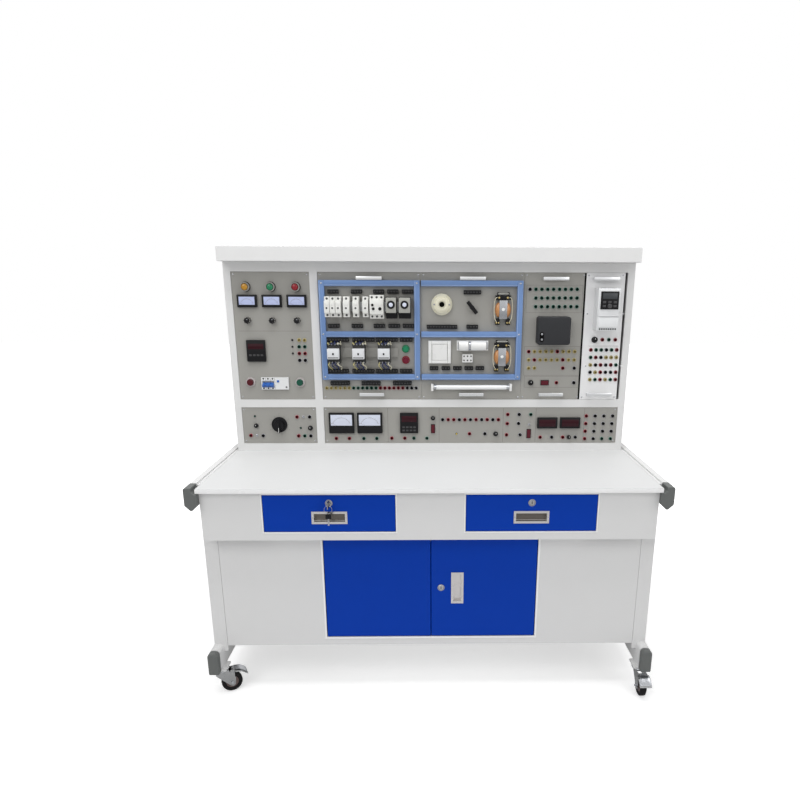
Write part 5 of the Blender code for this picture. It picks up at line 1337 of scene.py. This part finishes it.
settle("junction_block", junction, [switch_white, key_grey])

# Coil units
# Plug-in relays: a copper-orange winding bulges on both sides of a bright steel yoke, with a black terminal
# head above, black feet below, and short wire loops at the sides.
winding = finish("orange_winding", (0.50, 0.22, 0.07), 0.34, grain=160, bump=0.5, mottle=0.25,
                 stretch=(1, 1, 9), coat=0.4)
brass = finish("terminal_brass", (0.60, 0.47, 0.20), 0.3, metal=1.0, grain=600, bump=0.06, mottle=0.1)
for word in ("upper", "lower"):
    node = f"coil_unit_{word}"
    low, high = (Vector(v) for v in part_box(node))
    x, z = (low.x + high.x) / 2, (low.z + high.z) / 2
    height = high.z - low.z
    unit = bmesh.new()
    for sign in (-1, 1):
        profile = [(0.0145 * math.sin(math.radians(t)) + 0.0005, 0.0270 * -math.cos(math.radians(t)))
                   for t in range(0, 181, 15)]
        add_turned(unit, profile, (x + sign * 0.0160, high.y - 0.0160, z - height * 0.02), (0, 0, 1), 24,
                   [0] * 12)
    add_block(unit, (x - 0.0150, low.y, z - height * 0.30),
              (x + 0.0150, high.y - 0.0050, z + height * 0.28), 0.0015, 1)
    add_turned(unit, ((0.0058, 0), (0.0058, 0.0010), (0.0040, 0.0016), (0, 0.0016)), (x, low.y, z),
               sides=20, slots=[3, 3, 3])
    add_block(unit, (x - 0.0290, high.y - 0.0260, z + height * 0.29),
              (x + 0.0290, high.y - 0.0002, z + height * 0.43), 0.0016, 2)
    for sign in (-1, 1):
        add_turned(unit, ((0.0042, 0), (0.0042, 0.0110), (0.0030, 0.0125), (0, 0.0125)),
                   (x + sign * 0.0200, high.y - 0.0150, z + height * 0.42), (0, 0, 1), 16, [2, 2, 2])
        add_block(unit, (x + sign * 0.0205 - 0.0085, high.y - 0.0240, z - height * 0.49),
                  (x + sign * 0.0205 + 0.0085, high.y - 0.0002, z - height * 0.29), 0.0014, 2)
        for k in (-1, 1):
            add_turned(unit, ((0.0028, 0), (0.0028, 0.0010), (0, 0.0012)),
                       (x + sign * 0.0205 + k * 0.0042, high.y - 0.0240, z - height * 0.42),
                       sides=12, slots=[4, 4])
        add_turned(unit, ((0.0036, 0), (0.0036, 0.0012), (0, 0.0014)),
                   (x + sign * 0.0160, high.y - 0.0260, z + height * 0.36), sides=14, slots=[4, 4])
    add_block(unit, (x - 0.0210, high.y - 0.0230, z + height * 0.46),
              (x + 0.0210, high.y - 0.0080, z + height * 0.495), 0.0010, 5)
    add_block(unit, (x - 0.0280, high.y - 0.0020, z - height * 0.46),
              (x + 0.0280, high.y - 0.0001, z + height * 0.46), 0.0003, 5)
    unit_looks = [winding, steel_bolt, black_moulding, switch_white, brass, relay_grey]
    piece = settle(f"{node}_body", unit, unit_looks)
    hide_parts(node)
    loops = []
    for sign in (-1, 1):
        top = Vector((x + sign * 0.0230, high.y - 0.0270, z + height * 0.36))
        foot = Vector((x + sign * 0.0240, high.y - 0.0250, z - height * 0.40))
        loops.append([top, top + Vector((sign * 0.006, -0.004, 0.002)),
                      Vector((x + sign * 0.0345, top.y, z + height * 0.20)),
                      Vector((x + sign * 0.0345, top.y, z - height * 0.20)),
                      foot + Vector((sign * 0.004, -0.004, 0.004)), foot])
    sweep(f"{node}_leads", loops, 0.0012, [lead_looks["cream"]])

# Tube lamp
# A short fluorescent tube between two white sockets on a slim white tray.
tube_glass = finish("tube_glass", (0.86, 0.87, 0.88), 0.2, grain=500, bump=0.01, mottle=0.01, coat=0.4)
low, high = (Vector(v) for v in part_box("tube_lamp"))
z = (low.z + high.z) / 2
tube = bmesh.new()
add_block(tube, (low.x + 0.004, high.y - 0.0073, z - 0.007), (high.x - 0.004, high.y - 0.0001, z + 0.007),
          0.0015, 1)
glass_y = high.y - 0.022
tube_end = ((0.0060, 0), (0.0085, 0.0010), (0.0088, 0.0120))
for end_x, inward in ((low.x + 0.009, 1), (high.x - 0.009, -1)):
    add_turned(tube, tube_end, (end_x, glass_y, z), (inward, 0, 0), 28, [2, 2])
add_turned(tube, ((0.0086, 0.0120), (0.0086, high.x - low.x - 0.030)), (low.x + 0.009, glass_y, z),
           (1, 0, 0), 28, [0])
for x in (low.x, high.x - 0.0095):
    add_block(tube, (x, low.y, z - 0.0135), (x + 0.0095, high.y - 0.0001, z + 0.0135), 0.0022, 1)
piece = settle("tube_lamp_body", tube, [tube_glass, switch_white, steel_bolt])
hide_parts("tube_lamp")

# Logic controller
# A matt black case with rounded edges, a seam round its middle and an oval recess with two small ports. It
# is narrower in the photograph than its solid, by the overshoot below.
case_black = finish("controller_black", (0.030, 0.031, 0.034), 0.5, grain=1200, bump=0.16, mottle=0.12,
                    shine=0.2)
low, high = (Vector(v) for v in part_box("logic_controller"))
case_overshoot = 0.0150
high.x -= case_overshoot
case = bmesh.new()
add_block(case, low, (high.x, high.y, high.z), 0)
upright = [e for e in case.edges if abs(e.verts[0].co.y - e.verts[1].co.y) > 0.01]
bmesh.ops.bevel(case, geom=upright, offset=0.009, segments=5, profile=0.5, affect="EDGES")
front_edges = [e for e in case.edges if all(v.co.y < low.y + 0.0001 for v in e.verts)]
bmesh.ops.bevel(case, geom=front_edges, offset=0.004, segments=4, profile=0.5, affect="EDGES")
add_block(case, (low.x - 0.0003, low.y + 0.020, low.z + 0.010),
          (high.x + 0.0003, low.y + 0.0208, high.z - 0.010), 0, 1)
port_x = low.x + (high.x - low.x) * 0.12
for rise in (-0.011, 0.011):
    add_turned(case, ((0.0080, 0), (0.0080, 0.0008), (0.0060, 0.0010), (0, 0.0004)),
               (port_x, low.y, low.z + 0.030 + rise), sides=24, slots=[1, 1, 1])
add_block(case, (port_x - 0.0078, low.y - 0.0007, low.z + 0.020),
          (port_x + 0.0078, low.y + 0.001, low.z + 0.040), 0.0003, 1)
for rise in (-0.0095, 0.0105):
    add_turned(case, ((0.0042, 0.0009), (0.0040, 0.0016), (0, 0.0018)),
               (port_x, low.y, low.z + 0.030 + rise), sides=20, slots=[2, 2])
piece = settle("logic_controller_case", case, [case_black, dark_gap, steel_bolt])
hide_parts("logic_controller")

# Motor drive
# A white moulded drive with vents at its top, a black keypad with a display and a dial, and a terminal ledge
# below its lower cover. It too is narrower in the photograph than its solid.
drive_white = finish("drive_white", (0.77, 0.78, 0.79), 0.38, grain=1200, bump=0.05, mottle=0.015)
display_dark = finish("display_dark", (0.05, 0.055, 0.06), 0.2, grain=300, bump=0.01, mottle=0.1, shine=0.3)
low, high = (Vector(v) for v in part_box("motor_drive"))
drive_overshoot = 0.013
high.x -= drive_overshoot
x = (low.x + high.x) / 2
body = bmesh.new()
add_block(body, (low.x, low.y + 0.006, low.z), (high.x, high.y, high.z), 0.0030)
add_block(body, (low.x + 0.004, low.y, low.z + 0.052), (high.x - 0.004, low.y + 0.012, high.z - 0.004),
          0.0026)
add_block(body, (low.x + 0.004, low.y + 0.0025, low.z + 0.012),
          (high.x - 0.004, low.y + 0.014, low.z + 0.050), 0.0022)
add_block(body, (x - 0.034, low.y - 0.0035, high.z - 0.076), (x + 0.034, low.y + 0.002, high.z - 0.011),
          0.0024, 1)
add_block(body, (x - 0.027, low.y - 0.0040, high.z - 0.038), (x + 0.027, low.y - 0.001, high.z - 0.017),
          0.0006, 2)
for row in range(2):
    for column in range(3):
        key_x = x - 0.020 + 0.020 * column
        key_z = high.z - 0.050 - 0.014 * row
        if row == 0 or column != 1:
            add_block(body, (key_x - 0.006, low.y - 0.0046, key_z - 0.004),
                      (key_x + 0.006, low.y - 0.002, key_z + 0.004), 0.0012, 3)
add_turned(body, ((0.0085, 0), (0.0082, 0.0060), (0.0070, 0.0070), (0, 0.0070)),
           (x, low.y - 0.0035, high.z - 0.064), sides=28, slots=[3, 3, 3])
for k in range(9):
    vent_x = low.x + 0.014 + (high.x - low.x - 0.028) * k / 8
    add_block(body, (vent_x - 0.0016, low.y + 0.020, high.z - 0.001),
              (vent_x + 0.0016, high.y - 0.012, high.z + 0.0003), 0, 4)
for k in range(8):
    clamp_x = low.x + 0.012 + (high.x - low.x - 0.024) * k / 7
    add_turned(body, ((0.0030, 0), (0.0030, 0.0010), (0, 0.0010)), (clamp_x, low.y + 0.006, low.z + 0.006),
               sides=12, slots=[4, 4])
piece = settle("motor_drive_body", body, [drive_white, black_moulding, display_dark, key_grey, dark_gap])
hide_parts("motor_drive")

# Screws of the panels
# Small plated screws hold the panels and boards near their corners.
panel_screws = bmesh.new()
panel_screw_profile = ((0.0032, 0), (0.0030, 0.0008), (0.0018, 0.0016), (0, 0.0018))
screw_inset = 0.009
for node in ("control_panel", "lower_left_panel", "lower_strip", "board_a", "board_b", "board_c",
             "drive_board"):
    low, high = (Vector(v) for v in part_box(node))
    for x in (low.x + screw_inset, high.x - screw_inset):
        for z in (low.z + screw_inset, high.z - screw_inset):
            add_turned(panel_screws, panel_screw_profile, (x, panel_y, z), sides=12)
drive_screw_pixels = ((587.3, 313.8), (623.6, 313.8), (585.6, 366.0), (620.5, 366.0))
for pixel in drive_screw_pixels:
    add_turned(panel_screws, panel_screw_profile, seen(*pixel), sides=12)
settle("panel_screws", panel_screws, [steel_bolt])
